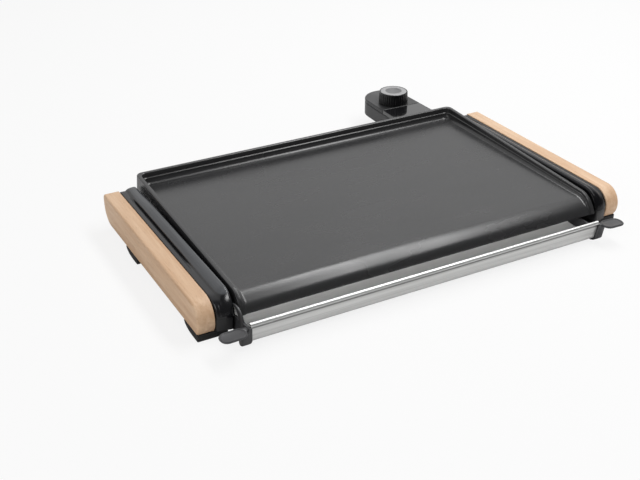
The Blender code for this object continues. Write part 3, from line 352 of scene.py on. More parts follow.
@dataclass(frozen=True)
class Finish:
    """How a material looks; subclasses draw what varies over it."""

    name: str
    slot: str
    colour: Colour
    roughness: float
    metallic: float = 0.0
    made: ClassVar[dict[str, bpy.types.Material]] = {}

    def draw(self, graph: Graph, shader: bpy.types.Node) -> None:
        """Adds what varies over the surface.

        Args:
            graph: the material's graph.
            shader: its Principled shader.
        """

    def feed(self, graph: Graph, shader: bpy.types.Node, **fields: Field) -> None:
        """Links fields to the shader's sockets.

        Args:
            graph: the material's graph.
            shader: its Principled shader.
            fields: field by socket name, with _ for a space.
        """
        for name, field in fields.items():
            graph.tree.links.new(field.socket, shader.inputs[name.replace("_", " ")])

    def relief(self, graph: Graph, height: Field, depth: float, strength: float = 1.0) -> Field:
        """A bump from a height between 0 and 1.

        Args:
            graph: the material's graph.
            height: the height field.
            depth: how many metres a height of 1 is.
            strength: how much of it shows.

        Returns:
            The normal as a field.
        """
        return graph.node("ShaderNodeBump", None,
                          {"Height": height, "Distance": depth, "Strength": strength})

    def material(self) -> bpy.types.Material:
        """The finish's material, made on first use."""
        if self.name not in Finish.made:
            made = bpy.data.materials.new(self.name)
            made.use_nodes = True
            shader = made.node_tree.nodes["Principled BSDF"]
            shader.inputs["Base Color"].default_value = (*self.colour, 1.0)
            shader.inputs["Roughness"].default_value = self.roughness
            shader.inputs["Metallic"].default_value = self.metallic
            self.draw(Graph(made.node_tree), shader)
            Finish.made[self.name] = made
        return Finish.made[self.name]


@dataclass(frozen=True)
class Beech(Finish):
    """Pale oiled beech: lengthwise figure, short flecks and fine pores along Y."""

    late: Colour = (0.640, 0.400, 0.235)
    fleck: Colour = (0.400, 0.240, 0.135)
    pale: Colour = (0.86, 0.63, 0.43)

    def draw(self, graph: Graph, shader: bpy.types.Node) -> None:
        """Adds the figure, the flecks and the pores.

        Args:
            graph: the material's graph.
            shader: its Principled shader.
        """
        figure = graph.noise((75, 5, 75), 4, 0.55, 0.8)
        bands = graph.noise((260, 9, 260), 3, 0.6, 0.3).step(0.36, 0.66)
        flecks = graph.noise((900, 95, 900), 2, 0.5).step(0.60, 0.74)
        pores = graph.noise((2600, 160, 2600), 2, 0.6).step(0.55, 0.75)
        cloud = graph.noise((14, 4, 14), 2, 0.5).step(0.30, 0.70)
        base = graph.blend(figure.step(0.36, 0.60) * 0.65 + bands * 0.35, self.colour, self.late)
        base = graph.blend(flecks * 0.38, base, self.fleck)
        base = graph.blend(pores * 0.22, base, self.fleck)
        base = graph.blend(cloud * 0.16, base, self.pale)
        height = bands * 0.5 + (1 - pores) * 0.5
        self.feed(graph, shader, Base_Color=base, Roughness=self.roughness + bands * 0.10 - cloud * 0.06,
                  Normal=self.relief(graph, height, 0.00006, 0.7))


@dataclass(frozen=True)
class NonStick(Finish):
    """Sprayed non-stick coating: a fine orange peel with tiny pale specks and faint wiping marks."""

    speck: Colour = (0.16, 0.16, 0.165)

    def draw(self, graph: Graph, shader: bpy.types.Node) -> None:
        """Adds the orange peel, the specks and faint wiping marks.

        Args:
            graph: the material's graph.
            shader: its Principled shader.
        """
        peel = graph.noise((1500, 1500, 1500), 2, 0.5)
        specks = graph.noise((2600, 2600, 2600), 1, 0.4).step(0.66, 0.72)
        wipes = graph.noise((9, 40, 9), 3, 0.6).step(0.30, 0.72)
        cloud = graph.noise((12, 12, 12), 3, 0.5).step(0.32, 0.68)
        base = graph.blend(specks * 0.35, self.colour, self.speck)
        base = graph.blend(cloud * 0.15, base, tuple(1.25 * c for c in self.colour))
        self.feed(graph, shader, Base_Color=base, Roughness=self.roughness + wipes * 0.06 - cloud * 0.04,
                  Normal=self.relief(graph, peel, 0.00003, 0.8))


@dataclass(frozen=True)
class BrushedSteel(Finish):
    """Sheet steel brushed lengthwise, along X, with a painted shade line under the bead; matt and pale
    inside.
    """

    bead_low: float = 0.0239
    bead_back: float = -0.2080
    inner_face: float = -0.2045
    metallic_inside: float = 0.15
    # The colour of the painted shade line under the bead.
    shaded: Colour = (0.08, 0.08, 0.08)
    matt: Colour = (0.64, 0.64, 0.63)

    def draw(self, graph: Graph, shader: bpy.types.Node) -> None:
        """Adds the brush lines, a few faint smudges, a painted shade line under the bead and the pale
        inside.

        Args:
            graph: the material's graph.
            shader: its Principled shader.
        """
        lines = graph.noise((7, 2600, 2600), 3, 0.6)
        coarse = graph.noise((3, 620, 620), 3, 0.6).step(0.36, 0.64)
        smudge = graph.noise((26, 26, 26), 3, 0.6).step(0.42, 0.72)
        tone = lines.step(0.30, 0.72) * 0.4 + coarse * 0.6
        base = graph.blend(tone, self.colour, tuple(0.74 * c for c in self.colour))
        front, height = graph.axis("Y"), graph.axis("Z")
        # Painted shade: a dark band on the front wall just under the bead stands in for the shadow there.
        under = height.step(self.bead_low - 0.0030, self.bead_low - 0.0012) \
            * height.step(self.bead_low + 0.0014, self.bead_low + 0.0004)
        under = under * front.step(self.bead_back, self.bead_back - 0.001)
        base = graph.blend(under * 0.75, base, self.shaded)
        inside = front.step(self.inner_face, self.inner_face + 0.0005)
        inside = inside * height.step(self.bead_low, self.bead_low - 0.001)
        base = graph.blend(inside * (1 - tone * 0.45), base, self.matt)
        rolled = height.step(self.bead_low - 0.0016, self.bead_low - 0.0008)
        metallic = rolled * (1 - self.metallic) + self.metallic
        metallic = metallic - inside * (self.metallic - self.metallic_inside)
        self.feed(graph, shader, Base_Color=base, Metallic=metallic,
                  Roughness=self.roughness + lines.step(0.3, 0.7) * 0.12 + smudge * 0.07,
                  Normal=self.relief(graph, lines, 0.00008, 0.8))


@dataclass(frozen=True)
class Moulded(Finish):
    """Moulded plastic or rubber: a fine grain in the surface and a slight unevenness of its gloss."""

    grain: float = 1800.0
    grain_depth: float = 0.00002
    uneven: float = 0.05
    paler: float = 1.35
    specular: float = 0.4

    def draw(self, graph: Graph, shader: bpy.types.Node) -> None:
        """Adds the grain and the cloudy gloss.

        Args:
            graph: the material's graph.
            shader: its Principled shader.
        """
        grain = graph.noise((self.grain,) * 3, 2, 0.5)
        cloud = graph.noise((35, 35, 35), 3, 0.55).step(0.30, 0.70)
        dust = graph.noise((700, 700, 700), 2, 0.6).step(0.60, 0.80)
        base = graph.blend(cloud * 0.5 + dust * 0.25, self.colour,
                           tuple(self.paler * c for c in self.colour))
        self.feed(graph, shader, Base_Color=base,
                  Roughness=self.roughness + cloud * self.uneven + dust * 0.03,
                  Normal=self.relief(graph, grain, self.grain_depth, 0.7))
        shader.inputs["Specular IOR Level"].default_value = self.specular
        self.mark(graph, shader, base)

    def mark(self, graph: Graph, shader: bpy.types.Node, base: Field) -> None:
        """Adds what one moulding has of its own; nothing here.

        Args:
            graph: the material's graph.
            shader: its Principled shader.
            base: its colour so far.
        """


@dataclass(frozen=True)
class Cheek(Moulded):
    """Glossy black moulding, with a painted sheen, a paler grey, along the top of its raised rail."""

    rail_top: float = 0.0448
    # The colour of the painted sheen on the rail's top.
    worn: Colour = (0.052, 0.055, 0.060)

    def mark(self, graph: Graph, shader: bpy.types.Node, base: Field) -> None:
        """Adds the painted sheen on the rail's top.

        Args:
            graph: the material's graph.
            shader: its Principled shader.
            base: its colour so far.
        """
        # Painted highlight: the rail's top is painted paler grey where the lamps' sheen falls, broken by
        # streaks.
        streak = graph.noise((400, 12, 400), 3, 0.6).step(0.25, 0.80)
        rail = graph.axis("Z").step(self.rail_top - 0.0040, self.rail_top - 0.0026)
        self.feed(graph, shader, Base_Color=graph.blend(rail * (1 - streak * 0.4), base, self.worn))


@dataclass(frozen=True)
class KnobTop(Moulded):
    """Pale ring round a darker middle, about the knob's axis."""

    axis: Point2 = (0.0, 0.0)
    inner: float = 0.0120
    middle: Colour = (0.170, 0.170, 0.175)
    # The colour of the painted highlight round the middle.
    rim: Colour = (0.50, 0.50, 0.50)

    def mark(self, graph: Graph, shader: bpy.types.Node, base: Field) -> None:
        """Adds the darker middle and a painted highlight: a pale line round the inside of its edge.

        Args:
            graph: the material's graph.
            shader: its Principled shader.
            base: its colour so far.
        """
        x, y = graph.axis("X") - self.axis[0], graph.axis("Y") - self.axis[1]
        reach = (x * x + y * y) ** 0.5
        inside = reach.step(self.inner + 0.0004, self.inner - 0.0004)
        # Painted highlight: a pale line round the edge of the darker middle.
        line = inside * reach.step(self.inner - 0.0014, self.inner - 0.0006)
        base = graph.blend(inside, base, self.middle)
        self.feed(graph, shader, Base_Color=graph.blend(line * 0.7, base, self.rim))


@dataclass(frozen=True)
class Metal(Finish):
    """Plated or rolled metal with a faint spangle."""

    spangle: float = 90.0
    tint: Colour = (0.72, 0.72, 0.70)

    def draw(self, graph: Graph, shader: bpy.types.Node) -> None:
        """Adds the spangle and small scuffs.

        Args:
            graph: the material's graph.
            shader: its Principled shader.
        """
        cells = graph.node("ShaderNodeTexVoronoi", None,
                           {"Vector": graph.place((self.spangle,) * 3), "Scale": 1.0})
        scuffs = graph.noise((300, 300, 300), 4, 0.7).step(0.45, 0.75)
        base = graph.blend(cells * 0.6, self.colour, self.tint)
        base = graph.blend(scuffs * 0.2, base, tuple(0.7 * c for c in self.colour))
        self.feed(graph, shader, Base_Color=base, Roughness=self.roughness + cells * 0.10 + scuffs * 0.08,
                  Normal=self.relief(graph, scuffs, 0.00001, 0.5))


BEECH = Beech("beech_oiled", "beech", (0.810, 0.575, 0.385), 0.50)
COATING = NonStick("coating_nonstick", "nonstick_coating", (0.027, 0.027, 0.028), 0.25)
STEEL = BrushedSteel("steel_brushed", "brushed_steel", (0.70, 0.70, 0.69), 0.38, 0.80)
POLISHED = {"grain": 500, "grain_depth": 0.000002}
COVER = Moulded("plastic_piano_black", "gloss_black", (0.008, 0.008, 0.009), 0.09, uneven=0.02, specular=1.0,
                **POLISHED)
CHEEK = Cheek("plastic_cheek_black", "gloss_black", (0.006, 0.006, 0.007), 0.20, **POLISHED)
# A darker copy of the cheek's finish, with a dimmer painted sheen on its rail: painted shade for the right
# cheek.
CHEEK_SHADED = Cheek("plastic_cheek_deep", "gloss_black", (0.004, 0.004, 0.005), 0.20, specular=0.22,
                     worn=(0.010, 0.010, 0.012), **POLISHED)
SATIN = Moulded("plastic_satin_black", "satin_black", (0.020, 0.020, 0.021), 0.36)
RUBBER = Moulded("rubber_black", "rubber_black", (0.014, 0.014, 0.014), 0.65, grain=900, grain_depth=0.00005)
GREY = Moulded("plastic_grey", "grey_plastic", (0.050, 0.050, 0.053), 0.34)
KNOB_BLACK = Moulded("plastic_knob_black", "knob_black", (0.005, 0.005, 0.006), 0.30, specular=0.3)
SILICONE = Moulded("silicone_pad", "silicone", (0.34, 0.075, 0.045), 0.6, grain=900)
CERAMIC = Moulded("ceramic_carrier", "ceramic", (0.70, 0.66, 0.58), 0.55, grain=1200, paler=1.1)
ELEMENT = Metal("element_sheath", "screw_steel", (0.34, 0.33, 0.32), 0.42, 1.0, spangle=300,
                tint=(0.42, 0.40, 0.38))
SCREW = Metal("steel_screw", "screw_steel", (0.55, 0.55, 0.56), 0.28, 1.0, spangle=500)
ZINC = Metal("zinc_plate", "zinc_plated", (0.60, 0.61, 0.62), 0.34, 1.0)
TIN = Metal("tin_sheet", "tin_sheet", (0.62, 0.63, 0.64), 0.32, 1.0, spangle=60)
BRASS = Metal("brass_contact", "brass_contact", (0.76, 0.58, 0.28), 0.26, 1.0, spangle=600,
              tint=(0.80, 0.66, 0.36))


# Outlines and solids


def arc(centre: Point2, radius: float, start: float, end: float, steps: int) -> list[Point2]:
    """Points of an arc in a plane, both ends included.

    Args:
        centre: the arc's centre.
        radius: its radius.
        start: the angle of its first point, in radians.
        end: the angle of its last point.
        steps: how many chords it has.

    Returns:
        The points in order.
    """
    angles = [start + (end - start) * i / steps for i in range(steps + 1)]
    return [(centre[0] + radius * math.cos(a), centre[1] + radius * math.sin(a)) for a in angles]


def fillet(before: Point2, corner: Point2, after: Point2, radius: float, steps: int) -> list[Point2]:
    """Points of the arc that rounds one corner of a path.

    Args:
        before: the path's point before the corner.
        corner: the corner itself.
        after: the point after it.
        radius: the rounding's radius.
        steps: how many chords it has.

    Returns:
        The points in order.
    """
    middle = Vector(corner)
    back, on = Vector(before) - middle, Vector(after) - middle
    half = back.angle(on) / 2
    reach = min(radius / math.tan(half), back.length / 2, on.length / 2)
    first, last = middle + back.normalized() * reach, middle + on.normalized() * reach
    centre = middle + (back.normalized() + on.normalized()).normalized() * reach / math.cos(half)
    start = math.atan2(first.y - centre.y, first.x - centre.x)
    turn = math.atan2(last.y - centre.y, last.x - centre.x) - start
    turn = (turn + math.pi) % (2 * math.pi) - math.pi
    return arc(tuple(centre), (first - centre).length, start, start + turn, steps)


def rounded_path(points: Sequence[Point2], radius: float, steps: int) -> list[Point2]:
    """An open path whose inner corners are rounded.

    Args:
        points: the path's corners.
        radius: the roundings' radius.
        steps: how many chords each has.

    Returns:
        The path's points.
    """
    path = [points[0]]
    for before, corner, after in zip(points, points[1:], points[2:]):
        path += fillet(before, corner, after, radius, steps)
    return path + [points[-1]]


def offset_path(path: Sequence[Point2], distance: float) -> list[Point2]:
    """An open path moved sideways, to the left of its direction.

    Args:
        path: the points.
        distance: how far they move.

    Returns:
        The moved points.
    """
    moved = []
    for i, point in enumerate(path):
        here = Vector(point)
        ways = [here - Vector(path[max(i - 1, 0)]), Vector(path[min(i + 1, len(path) - 1)]) - here]
        normals = [Vector((-way.y, way.x)).normalized() for way in ways if way.length > 0]
        mean = sum(normals, Vector((0, 0))).normalized()
        moved.append(tuple(here + mean * distance / max(mean.dot(normals[0]), 0.4)))
    return moved


def loft(loops: Sequence[Sequence[Point3]]) -> Solid:
    """A solid through closed loops of equally many points, with flat ends.

    Args:
        loops: the loops in order.

    Returns:
        Its vertices and faces.
    """
    count = len(loops[0])
    vertices = [point for loop in loops for point in loop]
    faces = [list(range(count)), list(range(len(vertices) - count, len(vertices)))]
    for k in range(len(loops) - 1):
        for i in range(count):
            j = (i + 1) % count
            faces.append([k * count + i, k * count + j, (k + 1) * count + j, (k + 1) * count + i])
    return vertices, faces


def extrude(outline: Sequence[Point2], along: str, start: float, end: float) -> Solid:
    """A flat outline drawn out along an axis.

    Args:
        outline: its points, along the other two axes in order.
        along: x, y or z.
        start: where it starts on that axis.
        end: where it ends.

    Returns:
        Its vertices and faces.
    """
    places = {"x": lambda a, b, d: (d, a, b), "y": lambda a, b, d: (a, d, b), "z": lambda a, b, d: (a, b, d)}
    return loft([[places[along](a, b, depth) for a, b in outline] for depth in (start, end)])


def rod(centre: Point2, along: str, radius: float, start: float, end: float, steps: int = 32) -> Solid:
    """A round bar along an axis.

    Args:
        centre: its centre on the other two axes.
        along: x, y or z.
        radius: its radius.
        start: where it starts on that axis.
        end: where it ends.
        steps: how many sides it has.

    Returns:
        Its vertices and faces.
    """
    return extrude(arc(centre, radius, 0, 2 * math.pi, steps)[:-1], along, start, end)


def block(low: Point3, high: Point3) -> Solid:
    """A box between two corners.

    Args:
        low: the lowest corner.
        high: the highest corner.

    Returns:
        Its vertices and faces.
    """
    base = [(low[0], low[1]), (high[0], low[1]), (high[0], high[1]), (low[0], high[1])]
    return extrude(base, "z", low[2], high[2])


def turned(profile: Sequence[Point2], centre: Point2, steps: int = 96) -> Solid:
    """A solid turned about a vertical axis.

    Args:
        profile: (radius, height) points from axis to axis.
        centre: the axis's X and Y.
        steps: how many sides it has.

    Returns:
        Its vertices and faces.
    """
    vertices, rings, faces = [], [], []
    for radius, height in profile:
        first = len(vertices)
        if radius == 0:
            rings.append([first])
            vertices.append((centre[0], centre[1], height))
        else:
            rings.append(list(range(first, first + steps)))
            vertices += [(x, y, height) for x, y in arc(centre, radius, 0, 2 * math.pi, steps)[:-1]]
    for low, high in zip(rings, rings[1:]):
        for i in range(steps if len(low) + len(high) > 2 else 0):
            j = (i + 1) % steps
            face = [low[i % len(low)], low[j % len(low)], high[j % len(high)], high[i % len(high)]]
            faces.append(list(dict.fromkeys(face)))
    return vertices, faces


def sweep(path: Sequence[Point3], section: Sequence[Point2]) -> Solid:
    """A solid along a path that lies nearly flat.

    Args:
        path: the points it follows.
        section: its section as (sideways, up).

    Returns:
        Its vertices and faces.
    """
    loops = []
    for i, point in enumerate(path):
        before, after = Vector(path[max(i - 1, 0)]), Vector(path[min(i + 1, len(path) - 1)])
        way = (after - before).normalized()
        side = Vector((0, 0, 1)).cross(way).normalized()
        loops.append([tuple(Vector(point) + side * a + way.cross(side) * b) for a, b in section])
    return loft(loops)


def merged(shapes: Iterable[Solid]) -> Solid:
    """Several solids that don't touch, as one.

    Args:
        shapes: their vertices and faces.

    Returns:
        All vertices and faces.
    """
    vertices, faces = [], []
    for more_vertices, more_faces in shapes:
        faces += [[len(vertices) + i for i in face] for face in more_faces]
        vertices += more_vertices
    return vertices, faces


def mirrored(shape: Solid, side: Side) -> Solid:
    """A shape drawn at +X, on the given side.

    Args:
        shape: vertices and faces.
        side: which end it goes to.

    Returns:
        The vertices and faces on that side.
    """
    return [(side.value * x, y, z) for x, y, z in shape[0]], shape[1]


def smooth_step(value: float) -> float:
    """A smooth step from 0 at 0 to 1 at 1."""
    value = min(max(value, 0.0), 1.0)
    return value * value * (3 - 2 * value)


def spline(table: Sequence[Sequence[float]], at: float) -> list[float]:
    """Values between the rows of a table, on a smooth curve through them.

    Args:
        table: rows that start with their place, in order.
        at: the place that is asked for.

    Returns:
        The row's other values there.
    """
    last = len(table) - 2
    k = max(min(sum(row[0] <= at for row in table) - 1, last), 0)
    low, high = table[k], table[k + 1]
    span = high[0] - low[0]
    t = (at - low[0]) / span
    values = []
    for c in range(1, len(low)):
        slopes = []
        for i in (k, k + 1):
            ways = [(table[j + 1][c] - table[j][c]) / (table[j + 1][0] - table[j][0])
                    for j in (i - 1, i) if 0 <= j <= last]
            mean = sum(ways) / len(ways)
            slopes.append(0.0 if len(ways) == 2 and ways[0] * ways[1] <= 0 else mean)
        a, b = low[c], high[c]
        values.append(a * (1 + 2 * t) * (1 - t) ** 2 + b * t * t * (3 - 2 * t)
                      + span * (slopes[0] * t * (1 - t) ** 2 - slopes[1] * t * t * (1 - t)))
    return values


# Pieces


class Bench:
    """Makes mesh objects, joins and cuts them, and hands finished pieces to their bodies.

    Angles are in degrees: edges sharper than bevel_angle are rounded, and what bends less than flat_angle is
    taken as flat.
    """

    bevel_segments: int = 2
    bevel_angle: float = 40.0
    weld: float = 2e-6
    flat_angle: float = 0.5
    count: int = 0

    def raw(self, name: str, shape: Solid) -> bpy.types.Object:
        """A mesh object whose faces point outwards.

        Args:
            name: the object's name.
            shape: vertices and faces.

        Returns:
            The object.
        """
        mesh = bpy.data.meshes.new(name)
        mesh.from_pydata(shape[0], [], shape[1])
        work = bmesh.new()
        work.from_mesh(mesh)
        bmesh.ops.recalc_face_normals(work, faces=work.faces)
        work.to_mesh(mesh)
        work.free()
        return linked(name, mesh)

    def join(self, obj: bpy.types.Object, operation: str, shapes: Iterable[Solid]) -> None:
        """Cuts shapes from an object, or adds them to it, and applies the result.

        Args:
            obj: the object that changes.
            operation: DIFFERENCE or UNION.
            shapes: the solids, which don't touch each other.
        """
        tool = self.raw(f"{obj.name}_tool", merged(shapes))
        modifier = obj.modifiers.new("join", "BOOLEAN")
        modifier.operation, modifier.solver, modifier.object = operation, "EXACT", tool
        bake(obj)
        bpy.data.objects.remove(tool)

    def bevel(self, obj: bpy.types.Object, width: float) -> None:
        """Rounds an object's sharp edges and applies the result.

        Args:
            obj: the object.
            width: the rounding's width.
        """
        modifier = obj.modifiers.new("edges", "BEVEL")
        modifier.width, modifier.segments, modifier.limit_method = width, self.bevel_segments, "ANGLE"
        modifier.angle_limit = math.radians(self.bevel_angle)
        bake(obj)

    def copy(self, node: str) -> bpy.types.Object:
        """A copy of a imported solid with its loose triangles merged.

        Args:
            node: the solid's name.

        Returns:
            The new object.
        """
        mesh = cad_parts[node].data.copy()
        obj = linked(f"{node}_fine", mesh)
        work = bmesh.new()
        work.from_mesh(mesh)
        bmesh.ops.remove_doubles(work, verts=work.verts, dist=self.weld)
        bmesh.ops.dissolve_limit(work, angle_limit=math.radians(self.flat_angle), verts=work.verts,
                                 edges=work.edges)
        work.to_mesh(mesh)
        work.free()
        mesh.materials.clear()
        return obj

    def deliver(self, obj: bpy.types.Object, finish: Finish, body: Body, nodes: Iterable[str],
                smooth: float = 35.0) -> bpy.types.Object:
        """Dresses a finished piece and hands it to its body.

        Args:
            obj: the piece.
            finish: its finish.
            body: what it moves with.
            nodes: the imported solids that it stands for.
            smooth: edges sharper than this many degrees stay crisp.

        Returns:
            The piece.
        """
        if not obj.data.materials:
            obj.data.materials.append(finish.material())
        obj.data.shade_smooth()
        obj.data.set_sharp_from_angle(angle=math.radians(smooth))
        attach(obj, body.value)
        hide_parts(*nodes)
        self.count += 1
        log.info("%-26s %6d faces, rides on %s", obj.name, len(obj.data.polygons), body.value)
        return obj

    def refine(self, node: str, finish: Finish, body: Body, edge: float = 0.0) -> bpy.types.Object:
        """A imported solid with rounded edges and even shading.

        Args:
            node: the solid's name.
            finish: its finish.
            body: what it moves with.
            edge: the width of its rounded edges, or zero.

        Returns:
            The piece.
        """
        obj = self.copy(node)
        if edge:
            self.bevel(obj, edge)
        return self.deliver(obj, finish, body, [node])


@dataclass
class Screws:
    """Pan-head screws with a cross recess, all of one body made in one tree."""

    body: Body
    names: tuple[str, ...]
    lying: tuple[str, ...] = ()
    head_radius: float = 0.0028
    head_height: float = 0.0017
    shank_radius: float = 0.0014
    dome_share: float = 0.6
    slot_length_share: float = 1.15
    slot_width_share: float = 0.30
    tip_share: float = 0.1

    def points(self) -> bpy.types.Object:
        """A point at each screw's seat, with the way that the screw points and how deep it reaches.

        Returns:
            An object with the points and their attributes way and reach.
        """
        places, ways, reaches = [], [], []
        for name in self.names:
            low, high = (Vector(corner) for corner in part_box(name))
            middle = (low + high) / 2
            if name in self.lying:
                sign = math.copysign(1, middle.x)
                head, tip = (low.x, high.x) if sign > 0 else (high.x, low.x)
                places.append((head + sign * self.head_height, middle.y, middle.z))
                ways.append((sign, 0, 0))
                reaches.append(abs(tip - head) - self.head_height)
            else:
                places.append((middle.x, middle.y, low.z + self.head_height))
                ways.append((0, 0, 1))
                reaches.append(high.z - low.z - self.head_height)
        mesh = bpy.data.meshes.new("screw_points")
        mesh.from_pydata(places, [], [])
        for name, kind in (("way", "FLOAT_VECTOR"), ("reach", "FLOAT")):
            mesh.attributes.new(name, kind, "POINT")
        way, reach = mesh.attributes["way"].data, mesh.attributes["reach"].data
        for i, (direction, depth) in enumerate(zip(ways, reaches)):
            way[i].vector, reach[i].value = direction, depth
        return linked(f"{self.body.value}_screws_fine", mesh)

    def rule(self) -> Rule:
        """The tree that puts a head, a shank and a point at each place.

        Returns:
            The tree.
        """
        rule = Rule("screws", Head_Radius=self.head_radius, Head_Height=self.head_height,
                    Shank_Radius=self.shank_radius)
        node, vector = rule.graph.node, rule.vector
        radius, height, shank = (rule.given(name) for name in ("Head Radius", "Head Height", "Shank Radius"))

        def moved(mesh: Field, up: float | Field) -> Field:
            """The mesh, moved up."""
            return node("GeometryNodeTransform", None,
                        {"Geometry": mesh, "Translation": vector(0.0, 0.0, up)})

        dome = height * self.dome_share
        ball = (radius * radius + dome * dome).math("DIVIDE", dome * 2)
        drum = node("GeometryNodeMeshCylinder", None, {"Vertices": 32, "Radius": radius, "Depth": height})
        sphere = node("GeometryNodeMeshUVSphere", None, {"Segments": 32, "Rings": 48, "Radius": ball})
        head = node("GeometryNodeMeshBoolean", {"operation": "INTERSECT", "solver": "EXACT"},
                    {"Mesh 2": (moved(drum, height * -0.5), moved(sphere, ball - height))})
        slot_length, slot_width = radius * self.slot_length_share, radius * self.slot_width_share
        slots = [moved(node("GeometryNodeMeshCube", None, {"Size": vector(*size, height)}), height * -1)
                 for size in ((slot_length, slot_width), (slot_width, slot_length))]
        head = node("GeometryNodeMeshBoolean", {"operation": "DIFFERENCE", "solver": "EXACT"},
                    {"Mesh 1": head, "Mesh 2": tuple(slots)})
        rod_mesh = node("GeometryNodeMeshCylinder", None, {"Vertices": 20, "Radius": shank, "Depth": 1.0})
        point = node("GeometryNodeMeshCone", None, {"Vertices": 20, "Radius Top": shank * self.tip_share,
                                                    "Radius Bottom": shank, "Depth": shank})
        way = node("GeometryNodeInputNamedAttribute", {"data_type": "FLOAT_VECTOR"}, {"Name": "way"})
        reach = node("GeometryNodeInputNamedAttribute", {"data_type": "FLOAT"}, {"Name": "reach"}) - shank
        turn = node("FunctionNodeAlignRotationToVector", {"axis": "Z"}, {"Vector": way})
        tips = node("GeometryNodeSetPosition", None,
                    {"Geometry": rule.given(),
                     "Offset": rule.graph.vectors("SCALE", {0: way, "Scale": reach})})
        whole = (1, 1, 1)
        parts = [node("GeometryNodeInstanceOnPoints", None,
                      {"Points": points, "Instance": mesh, "Rotation": turn, "Scale": scale})
                 for points, mesh, scale in ((rule.given(), head, whole),
                                             (rule.given(), moved(rod_mesh, 0.5), vector(1.0, 1.0, reach)),
                                             (tips, point, whole))]
        rule.end(node("GeometryNodeJoinGeometry", None, {0: tuple(parts)}), SCREW)
        return rule

    def build(self, bench: Bench) -> None:
        """Makes the body's screws as one piece.

        Args:
            bench: where pieces are made.
        """
        obj = self.points()
        self.rule().run(obj)
        bench.deliver(obj, SCREW, self.body, self.names, 40)


